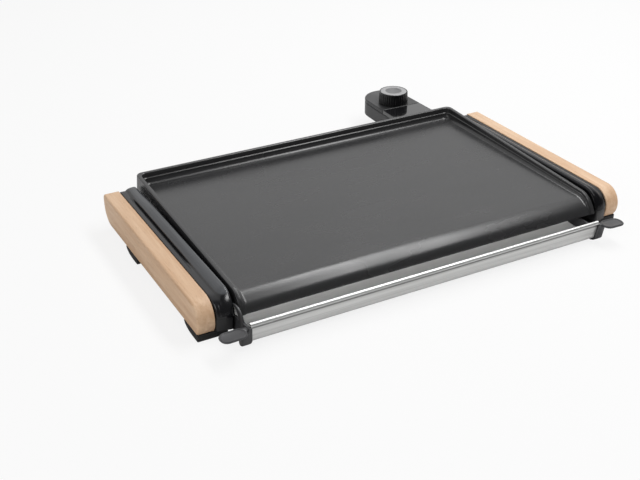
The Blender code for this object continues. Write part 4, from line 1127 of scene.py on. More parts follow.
@dataclass
class SidePart:
    """One end of the plancha: the wood handle, the glossy cheek, the tray below it and the feet.

    A row of cheek_table holds a share of the way from the wood to the plate, then how much of the groove,
    of the rail and of the nose's swelling there is.
    """

    side: Side
    datum: float = -0.1753
    handle_inner: float = 0.2368
    handle_thickness: float = 0.0182
    handle_length: float = 0.2628
    handle_height: float = 0.0321
    handle_lift: float = 0.0081
    nose_radius: float = 0.0197
    heel_radius: float = 0.0180
    top_corner: float = 0.0020
    outer_edge: float = 0.0026
    inner_edge: float = 0.0008
    cheek_inner: float = 0.2172
    cheek_width: float = 0.0189
    set_down: float = 0.0004
    cheek_corner: float = 0.0040
    cheek_wall: float = 0.0024
    cheek_roof: float = 0.0046
    rail_rise: float = 0.0050
    rail_fade: float = 0.0700
    nose_rise: float = 0.0042
    groove_depth: float = 0.0022
    groove_start: float = 0.0560
    groove_end: float = 0.2450
    groove_fade: float = 0.0480
    split: float = 0.0228
    tray_edge: float = 0.0004
    rail_at_rear: float = 0.5
    wood_edge_share: float = 0.04
    nose_steps: int = 48
    edge_steps: int = 8
    cheek_nose_steps: int = 40
    cheek_top_steps: int = 56
    cavity_steps: int = 16
    cheek_steps: int = 60
    extra_steps: tuple[float, ...] = (0.01, 0.02, 0.97, 0.98, 0.99)
    cheek_table: ClassVar[tuple[tuple[float, ...], ...]] = (
        (0.00, 0.25, 0.0, -0.3), (0.035, 0.0, 0.0, 0.1), (0.22, 0.0, 0.0, 0.56), (0.26, 1.0, 0.0, 0.66),
        (0.33, 1.0, 0.0, 0.78), (0.39, 0.1, 0.30, 0.84), (0.47, 0.0, 0.62, 0.91), (0.60, 0.0, 0.88, 0.98),
        (0.76, 0.0, 1.0, 1.0), (0.90, 0.0, 0.97, 0.84), (0.97, 0.0, 0.70, 0.50), (1.00, 0.0, 0.2, -0.1))

    @property
    def top(self) -> float:
        """Height of the handle's top."""
        return self.handle_lift + self.handle_height

    @property
    def nose_back(self) -> float:
        """How far the bull nose's centre lies behind the handle's front corner."""
        return math.sqrt(self.nose_radius ** 2 - (self.handle_height - self.nose_radius) ** 2)

    def outline(self, inset: float, low: float, heel: float, corner: float, steps: int) -> list[Point2]:
        """The handle seen from the side, from the lower front round to the lower rear.

        Args:
            inset: how far it is drawn in all round.
            low: the height of its bottom.
            heel: the radius of its lower rear corner, or zero.
            corner: the radius of its upper rear corner.
            steps: chords of the nose.

        Returns:
            The outline's points.
        """
        centre = (self.datum + self.nose_back, self.top - self.nose_radius)
        radius = self.nose_radius - inset
        drop = math.asin(min(max((centre[1] - low) / radius, -1), 1))
        points = arc(centre, radius, math.pi + drop, math.pi / 2, steps)
        rear, top = self.datum + self.handle_length - inset, self.top - inset
        points += arc((rear - corner, top - corner), corner, math.pi / 2, 0, 6)
        if heel:
            return points + arc((rear - heel, low + heel), heel, 0, -math.pi / 2, steps // 2)
        return points + [(rear, low)]

    def handle(self) -> Solid:
        """The wood slab, its long edges rounded: little inside, more outside.

        Returns:
            Its vertices and faces.
        """
        loops = []
        outer = self.handle_inner + self.handle_thickness
        for face, way, edge in ((self.handle_inner, 1, self.inner_edge), (outer, -1, self.outer_edge)):
            turns = [math.pi / 2 * (1 - i / self.edge_steps) for i in range(self.edge_steps + 1)]
            rounding = [(face + way * edge * (1 - math.sin(a)), edge * (1 - math.cos(a))) for a in turns]
            for x, inset in rounding[::way]:
                outline = self.outline(inset, self.handle_lift + inset, self.heel_radius, self.top_corner,
                                       self.nose_steps)
                loops.append([(x, y, z) for y, z in outline])
        return loft(loops)

    def cheek_stations(self) -> list[tuple[Vector, Vector, float, float]]:
        """The stations of the cheek's side view, from its lower front over the top to its lower rear.

        Returns:
            Each station's point, outward normal, nose share and groove share.
        """
        centre = Vector((self.datum + self.nose_back, self.top - self.nose_radius))
        radius, low = self.nose_radius - self.set_down, self.split
        rear, top = self.datum + self.handle_length - self.set_down, self.top - self.set_down
        lift = math.asin(min(max((low - centre.y) / radius, -1), 1))
        stations = []
        for y, z in arc(tuple(centre), radius, math.pi - lift, math.pi / 2, self.cheek_nose_steps):
            normal = (Vector((y, z)) - centre).normalized()
            stations.append((Vector((y, z)), normal, smooth_step(-normal.x), 0.0))
        stations[0] = (stations[0][0], Vector((-1, 0)), 1.0, 0.0)
        length = rear - self.cheek_corner - centre.x
        for i in range(1, self.cheek_top_steps):
            y = centre.x + length * i / self.cheek_top_steps
            front = smooth_step((y - self.datum - self.groove_start) / self.groove_fade)
            back = smooth_step((self.datum + self.groove_end - y) / self.groove_fade * 2)
            stations.append((Vector((y, top)), Vector((0, 1)), 0.0, min(front, back)))
        corner = Vector((rear - self.cheek_corner, top - self.cheek_corner))
        for y, z in arc(tuple(corner), self.cheek_corner, math.pi / 2, 0, self.edge_steps):
            stations.append((Vector((y, z)), (Vector((y, z)) - corner).normalized(), 0.0, 0.0))
        stations.append((Vector((rear, low)), Vector((1, 0)), 0.0, 0.0))
        return stations

    def cheek(self) -> Solid:
        """The glossy cheek: side views from the wood to the plate, raised or sunk by the rail and groove.

        Returns:
            Its vertices and faces.
        """
        stations = self.cheek_stations()
        shares = sorted({i / self.cheek_steps for i in range(self.cheek_steps + 1)} | set(self.extra_steps))
        loops = []
        rear = self.datum + self.handle_length
        for share in shares:
            groove_share, rail_share, nose_share = spline(self.cheek_table, share)
            loop = []
            for point, normal, nose, groove in stations:
                forward = smooth_step((rear - point.x) / self.rail_fade)
                full = self.rail_at_rear + (1 - self.rail_at_rear) * forward
                rise = rail_share * self.rail_rise * full * (1 - nose) + nose_share * self.nose_rise * nose
                sunk = max(groove, smooth_step(1 - share / self.wood_edge_share))
                rise -= groove_share * self.groove_depth * sunk
                moved = point + normal * rise
                loop.append((self.cheek_inner + self.cheek_width * (1 - share), moved.x, moved.y))
            loops.append(loop)
        return loft(loops)

    def cavity(self) -> Solid:
        """The hollow under the cheek, open at the split line.

        Returns:
            Its vertices and faces.
        """
        outline = self.outline(self.cheek_roof, self.split - self.cheek_wall, 0, self.cheek_corner,
                               self.cavity_steps)
        outer = self.cheek_inner + self.cheek_width - self.cheek_wall
        return extrude(outline, "x", self.cheek_inner + self.cheek_wall, outer)

    def build(self, bench: Bench) -> None:
        """Makes and dresses the side's pieces.

        Args:
            bench: where pieces are made.
        """
        label = self.side.label
        handle = bench.raw(f"wood_handle_{label}_fine", mirrored(self.handle(), self.side))
        bench.deliver(handle, BEECH, Body.BASE, [f"wood_handle_{label}"], 40)
        cheek = bench.raw(f"side_cheek_{label}_fine", mirrored(self.cheek(), self.side))
        bench.join(cheek, "DIFFERENCE", [mirrored(self.cavity(), self.side)])
        # The right cheek gets the darker copy of the finish, which is painted shade.
        finish = CHEEK if self.side is Side.LEFT else CHEEK_SHADED
        bench.deliver(cheek, finish, Body.BASE, [f"side_cheek_{label}"], 50)
        bench.refine(f"side_tray_{label}", SATIN, Body.BASE, self.tray_edge)
        for end in ENDS:
            bench.refine(f"foot_{end}_{label}", RUBBER, Body.BASE)


@dataclass
class CookingPlate:
    """The cast plate: rims that fall to the front, a surface that rolls down into the drip edge."""

    datum: float = -0.1753
    width: float = 0.4270
    rear: float = 0.2708
    roll_start: float = 0.0120
    roll_radius: float = 0.0230
    roll_angle: float = math.radians(69)
    surface: float = 0.0370
    fall: float = 0.0025
    thickness: float = 0.0050
    lip: float = 0.0030
    rim: float = 0.0135
    rim_at_roll: float = 0.0057
    rim_at_lip: float = 0.0018
    rim_thickness: float = 0.0045
    rim_edge: float = 0.0012
    rim_corner: float = 0.0068
    crease: float = 0.0008
    crease_share: float = 0.50
    rim_fillet: float = 0.0040
    skirt: float = 0.0095
    skirt_at_lip: float = 0.0042
    flare: float = 0.0013
    skirt_fillet: float = 0.0020
    touch: float = 0.0003
    bite: float = 0.0006
    leg_radius: float = 0.0050
    element_radius: float = 0.00325
    ridge: float = 0.0100
    pin_spacing: float = 0.0240
    element_left: float = 0.1650
    element_front: float = 0.0750
    element_back: float = 0.1980
    element_end: float = 0.2320
    element_bend: float = 0.0220
    boss_radius: float = 0.0052
    boss_start: float = 0.2050
    boss_end: float = 0.2360
    bore_radius: float = 0.00275
    bore_start: float = 0.2105
    socket_x: float = 0.1778
    pin_height: float = 0.0265
    notch_half: float = 0.0226
    notch_front: float = 0.2650
    notch_drop: float = 0.0238
    ridge_top_share: float = 0.7
    edge_steps: int = 6
    fillet_steps: int = 16
    corner_steps: int = 16
    roll_steps: int = 36
    flat_steps: int = 10
    bend_steps: int = 14
    boss_steps: int = 20
    groove_steps: int = 24
    skirt_shares: ClassVar[tuple[Point2, ...]] = ((0.6, 0.08), (1 / 3, 1 / 3), (0.08, 0.6))

    def __post_init__(self) -> None:
        """Works out the lengths along the surface."""
        self.slope = math.atan(self.fall / (self.rear - self.roll_start))
        self.rolled = self.roll_radius * (self.roll_angle - self.slope)
        self.length = self.rolled + (self.rear - self.roll_start) / math.cos(self.slope)

    def line(self, along: float) -> tuple[Vector, Vector]:
        """A point of the cooking surface in the side view, and its normal.

        Args:
            along: the distance from the drip lip over the surface.

        Returns:
            The point, Y from the datum, and the normal.
        """
        if along >= self.rolled:
            run = along - self.rolled
            point = Vector((self.roll_start + run * math.cos(self.slope),
                            self.surface + run * math.sin(self.slope)))
            return point, Vector((-math.sin(self.slope), math.cos(self.slope)))
        turn = self.slope + (self.rolled - along) / self.roll_radius
        point = Vector((self.roll_start - self.roll_radius * (math.sin(turn) - math.sin(self.slope)),
                        self.surface - self.roll_radius * (math.cos(self.slope) - math.cos(turn))))
        return point, Vector((-math.sin(turn), math.cos(turn)))

    def between(self, along: float, at_lip: float, at_roll: float, at_rear: float) -> float:
        """A size that changes from the lip over the roll's start to the rear.

        Args:
            along: the distance from the lip.
            at_lip: the size at the lip.
            at_roll: the size where the roll starts.
            at_rear: the size at the rear.

        Returns:
            The size there.
        """
        if along < self.rolled:
            return at_lip + (at_roll - at_lip) * smooth_step(along / self.rolled)
        return at_roll + (at_rear - at_roll) * (along - self.rolled) / (self.length - self.rolled)

    def rim_rise(self, along: float) -> float:
        """The rim's height at a distance from the lip."""
        return self.between(along, self.rim_at_lip, self.rim_at_roll, self.rim)

    def skirt_drop(self, along: float) -> float:
        """The skirt's depth at a distance from the lip."""
        return self.between(along, self.skirt_at_lip, self.skirt, self.skirt)

    def rings(self) -> tuple[list[tuple[float, Callable[[float], float]]], int]:
        """The skin's rings, each an inset and a rise, from the skirt's outer foot round to its inner foot.

        Returns:
            The rings, and the index of the last one on top.
        """
        def crest(down: float) -> Callable[[float], float]:
            """The rim's top, a share of its rounded edge further down."""
            return lambda s: (self.rim_rise(s)
                              - self.rim_edge * down * self.between(s, self.rim_at_lip / self.rim, 1, 1))

        def share(part: float) -> Callable[[float], float]:
            """A share of the rim's height."""
            return lambda s: self.rim_rise(s) * part

        def under(part: float) -> Callable[[float], float]:
            """The underside, a share of the way down to the skirt's foot."""
            def rise(s: float) -> float:
                """The height at a distance from the lip."""
                flat = self.between(s, self.lip, self.thickness, self.thickness)
                return -flat - (self.skirt_drop(s) - flat) * part
            return rise

        rings = [(-self.flare, lambda s: -self.skirt_drop(s))]
        turns = [math.pi / 2 * i / self.edge_steps for i in range(self.edge_steps + 1)]
        rings += [(self.rim_edge * (1 - math.cos(a)), crest(1 - math.sin(a))) for a in turns]
        rings += [(self.rim_thickness - self.rim_edge * (1 - math.sin(a)), crest(1 - math.cos(a)))
                  for a in turns]
        wall = self.rim_thickness + self.crease / 4
        rings.append((wall, share(self.crease_share + self.crease / self.rim)))
        wall += self.crease
        for i in range(self.fillet_steps + 1):
            a = math.pi / 2 * i / self.fillet_steps
            rings.append((wall + self.rim_fillet * (1 - math.cos(a)),
                          share(self.crease_share * (1 - math.sin(a)))))
        top_last = len(rings) - 1
        corner = self.skirt_fillet / (self.skirt - self.thickness)
        rings.append((self.rim_thickness + self.skirt_fillet, under(0)))
        rings += [(self.rim_thickness + self.skirt_fillet * inwards, under(corner * down))
                  for inwards, down in self.skirt_shares]
        rings += [(self.rim_thickness, under(corner)), (self.rim_thickness - self.flare, under(1))]
        return rings, top_last

    def ring(self, inset: float, rise: Callable[[float], float]) -> tuple[list[Point3], int]:
        """One ring, an open U from the left end of the lip round the rear to the right end.

        Args:
            inset: how far it lies inside the plate's edge.
            rise: its height above the surface, by the distance from the lip.

        Returns:
            Its points, and how many of them one side has before the corner.
        """
        side_x, end = self.width / 2 - inset, self.length - inset - self.rim_corner
        rolling, flat = self.roll_steps, self.flat_steps
        stations = [self.rolled * i / rolling for i in range(rolling + 1)]
        stations += [self.rolled + (end - self.rolled) * i / flat for i in range(1, flat + 1)]
        half = [(-side_x, along) for along in stations]
        half += arc((-side_x + self.rim_corner, end), self.rim_corner, math.pi, math.pi / 2,
                    self.corner_steps)[1:]
        points = []
        for x, along in half + [(-x, along) for x, along in reversed(half)]:
            point, normal = self.line(along)
            place = point + normal * rise(min(max(along, 0), self.length))
            points.append((x, self.datum + place.x, place.y))
        return points, len(stations)

    def skin(self) -> Solid:
        """The casting as one skin: over the rim and across the surface, then back along the underside.

        Returns:
            Its vertices and faces.
        """
        rings, top_last = self.rings()
        loops, vertices, faces, side_count = [], [], [], 0
        for inset, rise in rings:
            points, side_count = self.ring(inset, rise)
            loops.append(list(range(len(vertices), len(vertices) + len(points))))
            vertices += points
        count = len(loops[0])
        for k, (loop, after) in enumerate(zip(loops, loops[1:] + loops[:1])):
            if k != top_last:
                faces += [[loop[i], loop[i + 1], after[i + 1], after[i]] for i in range(count - 1)]
        for loop in (loops[top_last], loops[top_last + 1]):
            for i in range(side_count - 1):
                faces.append([loop[i], loop[i + 1], loop[count - 2 - i], loop[count - 1 - i]])
            faces.append(loop[side_count - 1:count - side_count + 1])
        top, under = loops[:top_last + 1], loops[top_last + 1:]
        faces.append([loop[0] for loop in top] + [loop[-1] for loop in top[::-1]]
                     + [loop[-1] for loop in under[::-1]] + [loop[0] for loop in under])
        return vertices, faces

    def underside(self, y: float) -> float:
        """Height of the plate's flat underside, Y from the datum."""
        return (self.surface + (y - self.roll_start) * math.tan(self.slope)
                - self.thickness / math.cos(self.slope))

    def element(self) -> list[Point3]:
        """The heating element's centre line, from one pin round under the plate to the other.

        Returns:
            Its points.
        """
        half, seat = self.pin_spacing / 2, self.element_radius + self.touch
        plan = [(self.socket_x - half, self.element_end), (self.socket_x - half, self.element_back),
                (-self.element_left, self.element_back), (-self.element_left, self.element_front),
                (self.socket_x + half, self.element_front), (self.socket_x + half, self.element_end)]
        drop = self.pin_height - (self.underside(self.element_end) - seat)
        path = []
        for x, y in rounded_path(plan, self.element_bend, self.bend_steps):
            dip = smooth_step((y - self.element_back) / (self.element_end - self.element_back))
            path.append((x, self.datum + y, self.underside(y) - seat + drop * dip))
        return path

    def underframe(self) -> tuple[list[Solid], list[Solid], list[Solid]]:
        """What is cast under the plate, the boss on it, and what is cut from both.

        Returns:
            Three lists of solids.
        """
        half, seat = self.ridge / 2, self.element_radius + self.touch
        along = [point for point in self.element() if point[1] < self.datum + self.element_back + self.touch]
        high = self.element_radius + self.bite + self.touch
        crown = half * self.ridge_top_share
        ridge = sweep(along, [(-half, 0), (half, 0), (crown, high), (-crown, high)])
        legs = []
        for end, label in CORNERS:
            low, top = (Vector(corner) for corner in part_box(f"plate_pad_{end}_{label}"))
            middle = (low + top) / 2
            legs.append(rod((middle.x, middle.y), "z", self.leg_radius, top.z + self.touch,
                            self.underside(middle.y - self.datum) + self.bite))
        boss_high = self.underside(self.boss_start) + self.bite
        web = arc((self.socket_x, self.pin_height), self.boss_radius, math.pi, 2 * math.pi, self.boss_steps)
        web += [(self.socket_x + self.boss_radius, boss_high), (self.socket_x - self.boss_radius, boss_high)]
        boss = extrude(web, "y", self.datum + self.boss_start, self.datum + self.boss_end)
        groove = sweep(self.element(), arc((0, 0), seat, 0, 2 * math.pi, self.groove_steps)[:-1])
        bore = rod((self.socket_x, self.pin_height), "y", self.bore_radius, self.datum + self.bore_start,
                   self.datum + self.boss_end + self.bite)
        notch = block((self.socket_x - self.notch_half, self.datum + self.notch_front,
                       self.pin_height - self.notch_drop),
                      (self.socket_x + self.notch_half, self.datum + self.rear + self.flare * 2,
                       self.underside(self.notch_front) + self.touch))
        return [ridge, *legs], [boss], [groove, bore, notch]

    def build(self, bench: Bench) -> None:
        """Makes and dresses the plate and what hangs under it.

        Args:
            bench: where pieces are made.
        """
        plate = bench.raw("cooking_plate_fine", self.skin())
        cast, boss, cuts = self.underframe()
        bench.join(plate, "UNION", cast)
        bench.join(plate, "UNION", boss)
        bench.join(plate, "DIFFERENCE", cuts)
        bench.deliver(plate, COATING, Body.PLATE, ["cooking_plate"], 40)
        self.tube(bench)
        bench.refine("socket_shroud", TIN, Body.PLATE)
        for side in Side:
            bench.refine(f"terminal_pin_{side.label}", BRASS, Body.PLATE)
        Screws(Body.PLATE, ("socket_screw_left", "socket_screw_right")).build(bench)

    def tube(self, bench: Bench) -> None:
        """The heating element: a tube drawn along its path.

        Args:
            bench: where pieces are made.
        """
        path = self.element()
        mesh = bpy.data.meshes.new("element_path")
        mesh.from_pydata(path, [(i, i + 1) for i in range(len(path) - 1)], [])
        obj = linked("heating_element_fine", mesh)
        rule = Rule("tube_along_path", Radius=self.element_radius, Sides=self.groove_steps)
        node = rule.graph.node
        curve = node("GeometryNodeMeshToCurve", None, {"Mesh": rule.given()})
        round_section = node("GeometryNodeCurvePrimitiveCircle", None,
                             {"Resolution": rule.given("Sides"), "Radius": rule.given("Radius")})
        rule.end(node("GeometryNodeCurveToMesh", None,
                      {"Curve": curve, "Profile Curve": round_section, "Fill Caps": True}), ELEMENT)
        rule.run(obj)
        bench.deliver(obj, ELEMENT, Body.PLATE, ["heating_element"])


@dataclass
class DripGutter:
    """The brushed steel gutter with its rolled bead, and the grey caps on its ends."""

    datum: float = -0.1753
    length: float = 0.4126
    shift: float = -0.0088
    sheet: float = 0.0008
    height: float = 0.0239
    front: float = 0.0336
    slope: float = 0.0036
    rear: float = 0.0140
    rear_height: float = 0.0180
    bottom: float = 0.0060
    fillet: float = 0.0040
    bead: float = 0.0020
    bead_start: float = math.radians(262)
    bead_end: float = math.radians(-48)
    weld: float = 0.00001
    cap_edge: float = 0.0004
    bend_steps: int = 16
    bead_steps: int = 32

    def section(self) -> list[Point2]:
        """The bent sheet's outline: the bead, the front wall, the floor and the rear wall.

        Returns:
            The outline's points.
        """
        def front(z: float) -> float:
            """The front wall's place at a height."""
            return self.datum - self.front + self.slope * (1 - z / self.height)

        rear = self.datum + self.rear
        path = rounded_path([(front(self.height), self.height), (front(self.bottom), self.bottom),
                             (rear, self.bottom), (rear, self.rear_height)], self.fillet, self.bend_steps)
        centre = (self.datum - self.front - self.bead * math.cos(self.bead_start),
                  self.height - self.bead * math.sin(self.bead_start))
        path = arc(centre, self.bead, self.bead_end, self.bead_start, self.bead_steps) + path[1:]
        return offset_path(path, self.sheet / 2) + offset_path(path, -self.sheet / 2)[::-1]

    def build(self, bench: Bench) -> None:
        """Makes and dresses the gutter and its caps.

        Args:
            bench: where pieces are made.
        """
        section = self.section()
        mesh = bpy.data.meshes.new("gutter_section")
        start = self.shift - self.length / 2
        mesh.from_pydata([(start, y, z) for y, z in section], [], [list(range(len(section)))])
        gutter = linked("drip_gutter_fine", mesh)
        if mesh.polygons[0].normal.x < 0:
            mesh.flip_normals()
        rule = Rule("bent_sheet", Length=self.length)
        node = rule.graph.node
        drawn = node("GeometryNodeExtrudeMesh", {"mode": "FACES"},
                     {"Mesh": rule.given(), "Offset": rule.vector(1.0, 0.0, 0.0),
                      "Offset Scale": rule.given("Length"), "Individual": False})
        end = node("GeometryNodeFlipFaces", None, {"Mesh": rule.given()})
        whole = node("GeometryNodeJoinGeometry", None, {0: (drawn, end)})
        welded = node("GeometryNodeMergeByDistance", None, {"Geometry": whole, "Distance": self.weld})
        rule.end(welded, STEEL)
        rule.run(gutter)
        bench.deliver(gutter, STEEL, Body.GUTTER, ["drip_gutter"], 35)
        for side in Side:
            bench.refine(f"gutter_cap_{side.label}", GREY, Body.GUTTER, self.cap_edge)


@dataclass
class Thermostat:
    """The plug-in thermostat: base, two covers, and the working parts inside."""

    def build(self, bench: Bench) -> None:
        """Makes and dresses the thermostat's pieces.

        Args:
            bench: where pieces are made.
        """
        for node, finish in (("thermostat_base", SATIN), ("thermostat_rear_cover", SATIN),
                             ("thermostat_front_cover", COVER), ("contact_carrier", CERAMIC),
                             ("earth_clip", BRASS), ("sensor_probe", SCREW), ("switch_block", CERAMIC),
                             ("bimetal_blade", BRASS), ("cord_gland", RUBBER),
                             ("contact_sleeve_left", BRASS), ("contact_sleeve_right", BRASS)):
            bench.refine(node, finish, Body.THERMOSTAT)
        Screws(Body.THERMOSTAT, ("thermostat_screw_front", "thermostat_screw_rear")).build(bench)


@dataclass
class Knob:
    """The control knob with its ribbed side and pale ring, and its spindle."""

    radius: float = 0.0194
    draft: float = 0.0004
    rib: float = 0.0005
    ribs: int = 36
    edge: float = 0.0014
    wall: float = 0.0024
    hub: float = 0.0060
    hollow: float = 0.0060
    seat_radius: float = 0.01765
    bore: float = 0.0033
    touch: float = 0.0003
    skin_share: float = 0.97
    ribs_rise: Point2 = (0.06, 0.14)
    ribs_fall: Point2 = (0.90, 0.82)
    edge_steps: int = 8
    side_steps: int = 16
    rib_steps: int = 8

    def body(self) -> tuple[Solid, Point3, float]:
        """The knob before it gets its ribs.

        Returns:
            Its plain turned body, the foot of its axis, and its height.
        """
        low, high = (Vector(corner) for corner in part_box("control_knob"))
        cap_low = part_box("knob_cap")[0][2] - self.touch
        centre, inner = ((low.x + high.x) / 2, (low.y + high.y) / 2), self.radius - self.wall
        bore_top = cap_low - self.wall / 2
        profile = [(0, cap_low), (self.seat_radius, cap_low), (self.seat_radius, high.z - self.touch),
                   (self.seat_radius + self.touch, high.z)]
        outer = self.radius - self.draft
        profile += arc((outer - self.edge, high.z - self.edge), self.edge, math.pi / 2, 0,
                       self.edge_steps)[1:]
        side = high.z - self.edge - low.z
        shares = [i / self.side_steps for i in range(1, self.side_steps + 1)]
        profile += [(outer + self.draft * share, low.z + side * (1 - share)) for share in shares]
        profile += [(inner, low.z), (inner, low.z + self.hollow), (self.hub, low.z + self.hollow),
                    (self.hub, low.z), (self.bore, low.z), (self.bore, bore_top), (0, bore_top)]
        return turned(profile, centre, self.ribs * self.rib_steps), (*centre, low.z), high.z - low.z

    def build(self, bench: Bench) -> None:
        """Makes and dresses the knob's pieces.

        Args:
            bench: where pieces are made.
        """
        shape, foot, height = self.body()
        knob = bench.raw("control_knob_fine", shape)
        rule = Rule("ribbed_side", Ribs=self.ribs, Rib_Depth=self.rib, Radius=self.radius, Height=height)
        node, vectors = rule.graph.node, rule.graph.vectors
        place = node("GeometryNodeInputPosition")
        away = vectors("SUBTRACT", {0: place, 1: foot})
        flat = vectors("MULTIPLY", {0: away, 1: (1.0, 1.0, 0.0)})
        x, y, z = (node("ShaderNodeSeparateXYZ", None, {0: away}, axis) for axis in "XYZ")
        reach = vectors("LENGTH", {0: flat}, "Value")
        turn = y.math("ARCTAN2", x)
        wave = (turn * rule.given("Ribs")).math("COSINE") * -0.5 + 0.5
        share = z.math("DIVIDE", rule.given("Height"))
        ends = share.step(*self.ribs_rise) * share.step(*self.ribs_fall)
        skin = reach.math("GREATER_THAN", rule.given("Radius") * self.skin_share)
        depth = wave ** 2.0 * ends * skin * rule.given("Rib Depth")
        offset = vectors("SCALE", {0: vectors("NORMALIZE", {0: flat}), "Scale": depth * -1})
        ribbed = node("GeometryNodeSetPosition", None, {"Geometry": rule.given(), "Offset": offset})
        rule.end(ribbed, KNOB_BLACK)
        rule.run(knob)
        bench.deliver(knob, KNOB_BLACK, Body.KNOB, ["control_knob"], 30)
        ring = KnobTop("plastic_ring_grey", "knob_ring_grey", (0.360, 0.360, 0.365), 0.40, grain=900,
                       specular=0.3, axis=foot[:2])
        bench.refine("knob_cap", ring, Body.KNOB)
        bench.refine("knob_spindle", SCREW, Body.KNOB)


@dataclass
class Underframe:
    """What joins the two sides: rails, heat shield, pads and screws."""

    def build(self, bench: Bench) -> None:
        """Makes and dresses the frame's pieces.

        Args:
            bench: where pieces are made.
        """
        bench.refine("heat_shield", TIN, Body.BASE)
        for end in ENDS:
            bench.refine(f"{end}_rail", ZINC, Body.BASE)
        for end, label in CORNERS:
            bench.refine(f"plate_pad_{end}_{label}", SILICONE, Body.BASE)
        upright = [f"{kind}_screw_{end}_{label}" for kind in ("cheek", "rail") for end, label in CORNERS]
        lying = [f"handle_screw_{end}_{label}" for end, label in CORNERS]
        Screws(Body.BASE, (*upright, *lying), tuple(lying)).build(bench)


# Studio


@dataclass(frozen=True)
class Lamp:
    """A soft rectangular lamp; only names the one piece that it lights, or nothing for all."""

    name: str
    place: Point3
    aim: Point3
    size: Point2
    power: float
    only: str = ""
    mirrored: bool = True

    def hang(self) -> None:
        """Puts the lamp into the scene."""
        data = bpy.data.lights.new(self.name, "AREA")
        data.shape, data.size, data.size_y, data.energy = "RECTANGLE", *self.size, self.power
        obj = linked(self.name, data)
        obj.location, obj.visible_glossy = self.place, self.mirrored
        way = Vector(self.aim) - Vector(self.place)
        obj.rotation_euler = way.to_track_quat("-Z", "Y").to_euler()
        if self.only:
            lit = bpy.data.collections.new(f"lit_by_{self.name}")
            lit.objects.link(bpy.data.objects[self.only])
            obj.light_linking.receiver_collection = lit


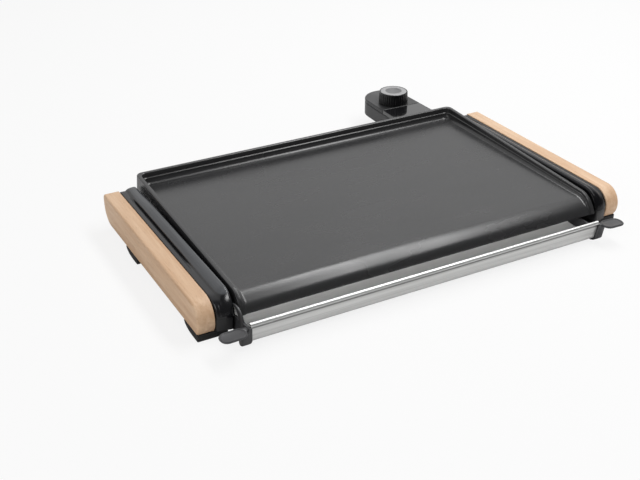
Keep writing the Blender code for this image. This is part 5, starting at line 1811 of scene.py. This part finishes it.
@dataclass
class Studio:
    """Pale floor, soft lamps, and the camera at the photograph's angle.

    Two of the lamps light one piece each: "front" the gutter and "nose" the left cheek.
    """

    lens: float = 57.7254
    yaw: float = 0.49803683
    pitch: float = 0.50360747
    roll: float = -0.00283227
    stand: Point3 = (-0.530754, -0.922574, 0.543072)
    fill: float = 0.25
    front_tone: float = 0.12
    behind: Point2 = (-0.15, 0.20)
    floor_reach: float = 6.0
    floor_tone: float = 0.86
    floor_white: float = 0.84
    lamps: ClassVar[tuple[Lamp, ...]] = (
        Lamp("overhead", (0.75, 0.02, 1.5), (0.15, 0, 0), (2.0, 0.42), 24),
        Lamp("left", (-1.6, -0.9, 1.1), (0, 0, 0), (1.0, 1.0), 9),
        Lamp("front", (-0.25, -1.13, 0.66), (-0.1, -0.18, 0.01), (0.8, 0.3), 12, "drip_gutter_fine", False),
        Lamp("nose", (0.27, -0.72, 1.34), (-0.23, -0.17, 0.03), (0.6, 0.45), 9, "side_cheek_left_fine"))

    def camera(self) -> None:
        """Makes the scene's camera."""
        data = bpy.data.cameras.new("camera")
        data.sensor_width, data.lens, data.clip_start = 36.0, self.lens, 0.01
        cam = linked("camera", data)
        level = math.cos(self.pitch)
        way = Vector((math.sin(self.yaw) * level, math.cos(self.yaw) * level, -math.sin(self.pitch)))
        right = Vector((math.cos(self.yaw), -math.sin(self.yaw), 0))
        up = right.cross(way)
        tilted = right * math.cos(self.roll) + up * math.sin(self.roll)
        upright = up * math.cos(self.roll) - right * math.sin(self.roll)
        cam.matrix_world = Matrix((tilted, upright, -way)).transposed().to_4x4()
        cam.location = self.stand
        bpy.context.scene.camera = cam

    def world(self) -> None:
        """White to the camera, a soft fill light, and in reflections white behind and dark in front."""
        world = bpy.data.worlds.new("studio")
        world.use_nodes = True
        graph = Graph(world.node_tree)
        shown = world.node_tree.nodes["Background"]
        path = graph.node("ShaderNodeLightPath", output="Is Camera Ray")
        glossy = Field(graph, path.socket.node.outputs["Is Glossy Ray"])
        clear = Field(graph, path.socket.node.outputs["Is Transmission Ray"])
        way = graph.node("ShaderNodeTexCoord", output="Generated")
        behind = graph.node("ShaderNodeSeparateXYZ", None, {0: way}, "Y").step(*self.behind)
        seen = path.math("MAXIMUM", clear)
        mirrored = glossy * (1 - seen)
        shade = behind * (1.0 - self.front_tone) + self.front_tone
        strength = seen + mirrored * shade + (1 - seen) * (1 - mirrored) * self.fill
        world.node_tree.links.new(strength.socket, shown.inputs["Strength"])
        shown.inputs["Color"].default_value = (1, 1, 1, 1)
        bpy.context.scene.world = world

    def floor(self) -> None:
        """A wide pale floor that keeps the object's shadow."""
        mesh, reach = bpy.data.meshes.new("floor"), self.floor_reach
        corners = [(-reach, -reach, 0), (reach, -reach, 0), (reach, reach, 0), (-reach, reach, 0)]
        mesh.from_pydata(corners, [], [[0, 1, 2, 3]])
        obj = linked("floor", mesh)
        material = bpy.data.materials.new("floor_pale")
        material.use_nodes = True
        graph = Graph(material.node_tree)
        shader = material.node_tree.nodes["Principled BSDF"]
        shader.inputs["Base Color"].default_value = (*[self.floor_tone] * 3, 1)
        shader.inputs["Roughness"].default_value = 0.9
        shader.inputs["Specular IOR Level"].default_value = 0.0
        white = graph.node("ShaderNodeEmission", None, {"Color": (1, 1, 1, 1), "Strength": 1.0})
        camera = graph.node("ShaderNodeLightPath", output="Is Camera Ray")
        mixed = graph.node("ShaderNodeMixShader", None,
                           {0: camera * self.floor_white, 1: Field(graph, shader.outputs[0]), 2: white})
        out = material.node_tree.nodes["Material Output"]
        material.node_tree.links.new(mixed.socket, out.inputs["Surface"])
        mesh.materials.append(material)

    def build(self) -> None:
        """Sets up view, world, floor, lamps and camera."""
        bpy.context.scene.view_settings.view_transform = "Standard"
        self.world()
        self.floor()
        for lamp in self.lamps:
            lamp.hang()
        self.camera()


def main() -> None:
    """Builds every sub-assembly in turn, then the studio."""
    logging.basicConfig(level=logging.INFO, format="%(message)s")
    bench = Bench()
    parts = [SidePart(Side.LEFT), SidePart(Side.RIGHT), Underframe(), CookingPlate(), DripGutter(),
             Thermostat(), Knob()]
    for part in parts:
        log.info("%s", type(part).__name__)
        part.build(bench)
    Studio().build()
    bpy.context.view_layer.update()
    log.info("%d fine pieces", bench.count)


if __name__ == "__main__":
    main()
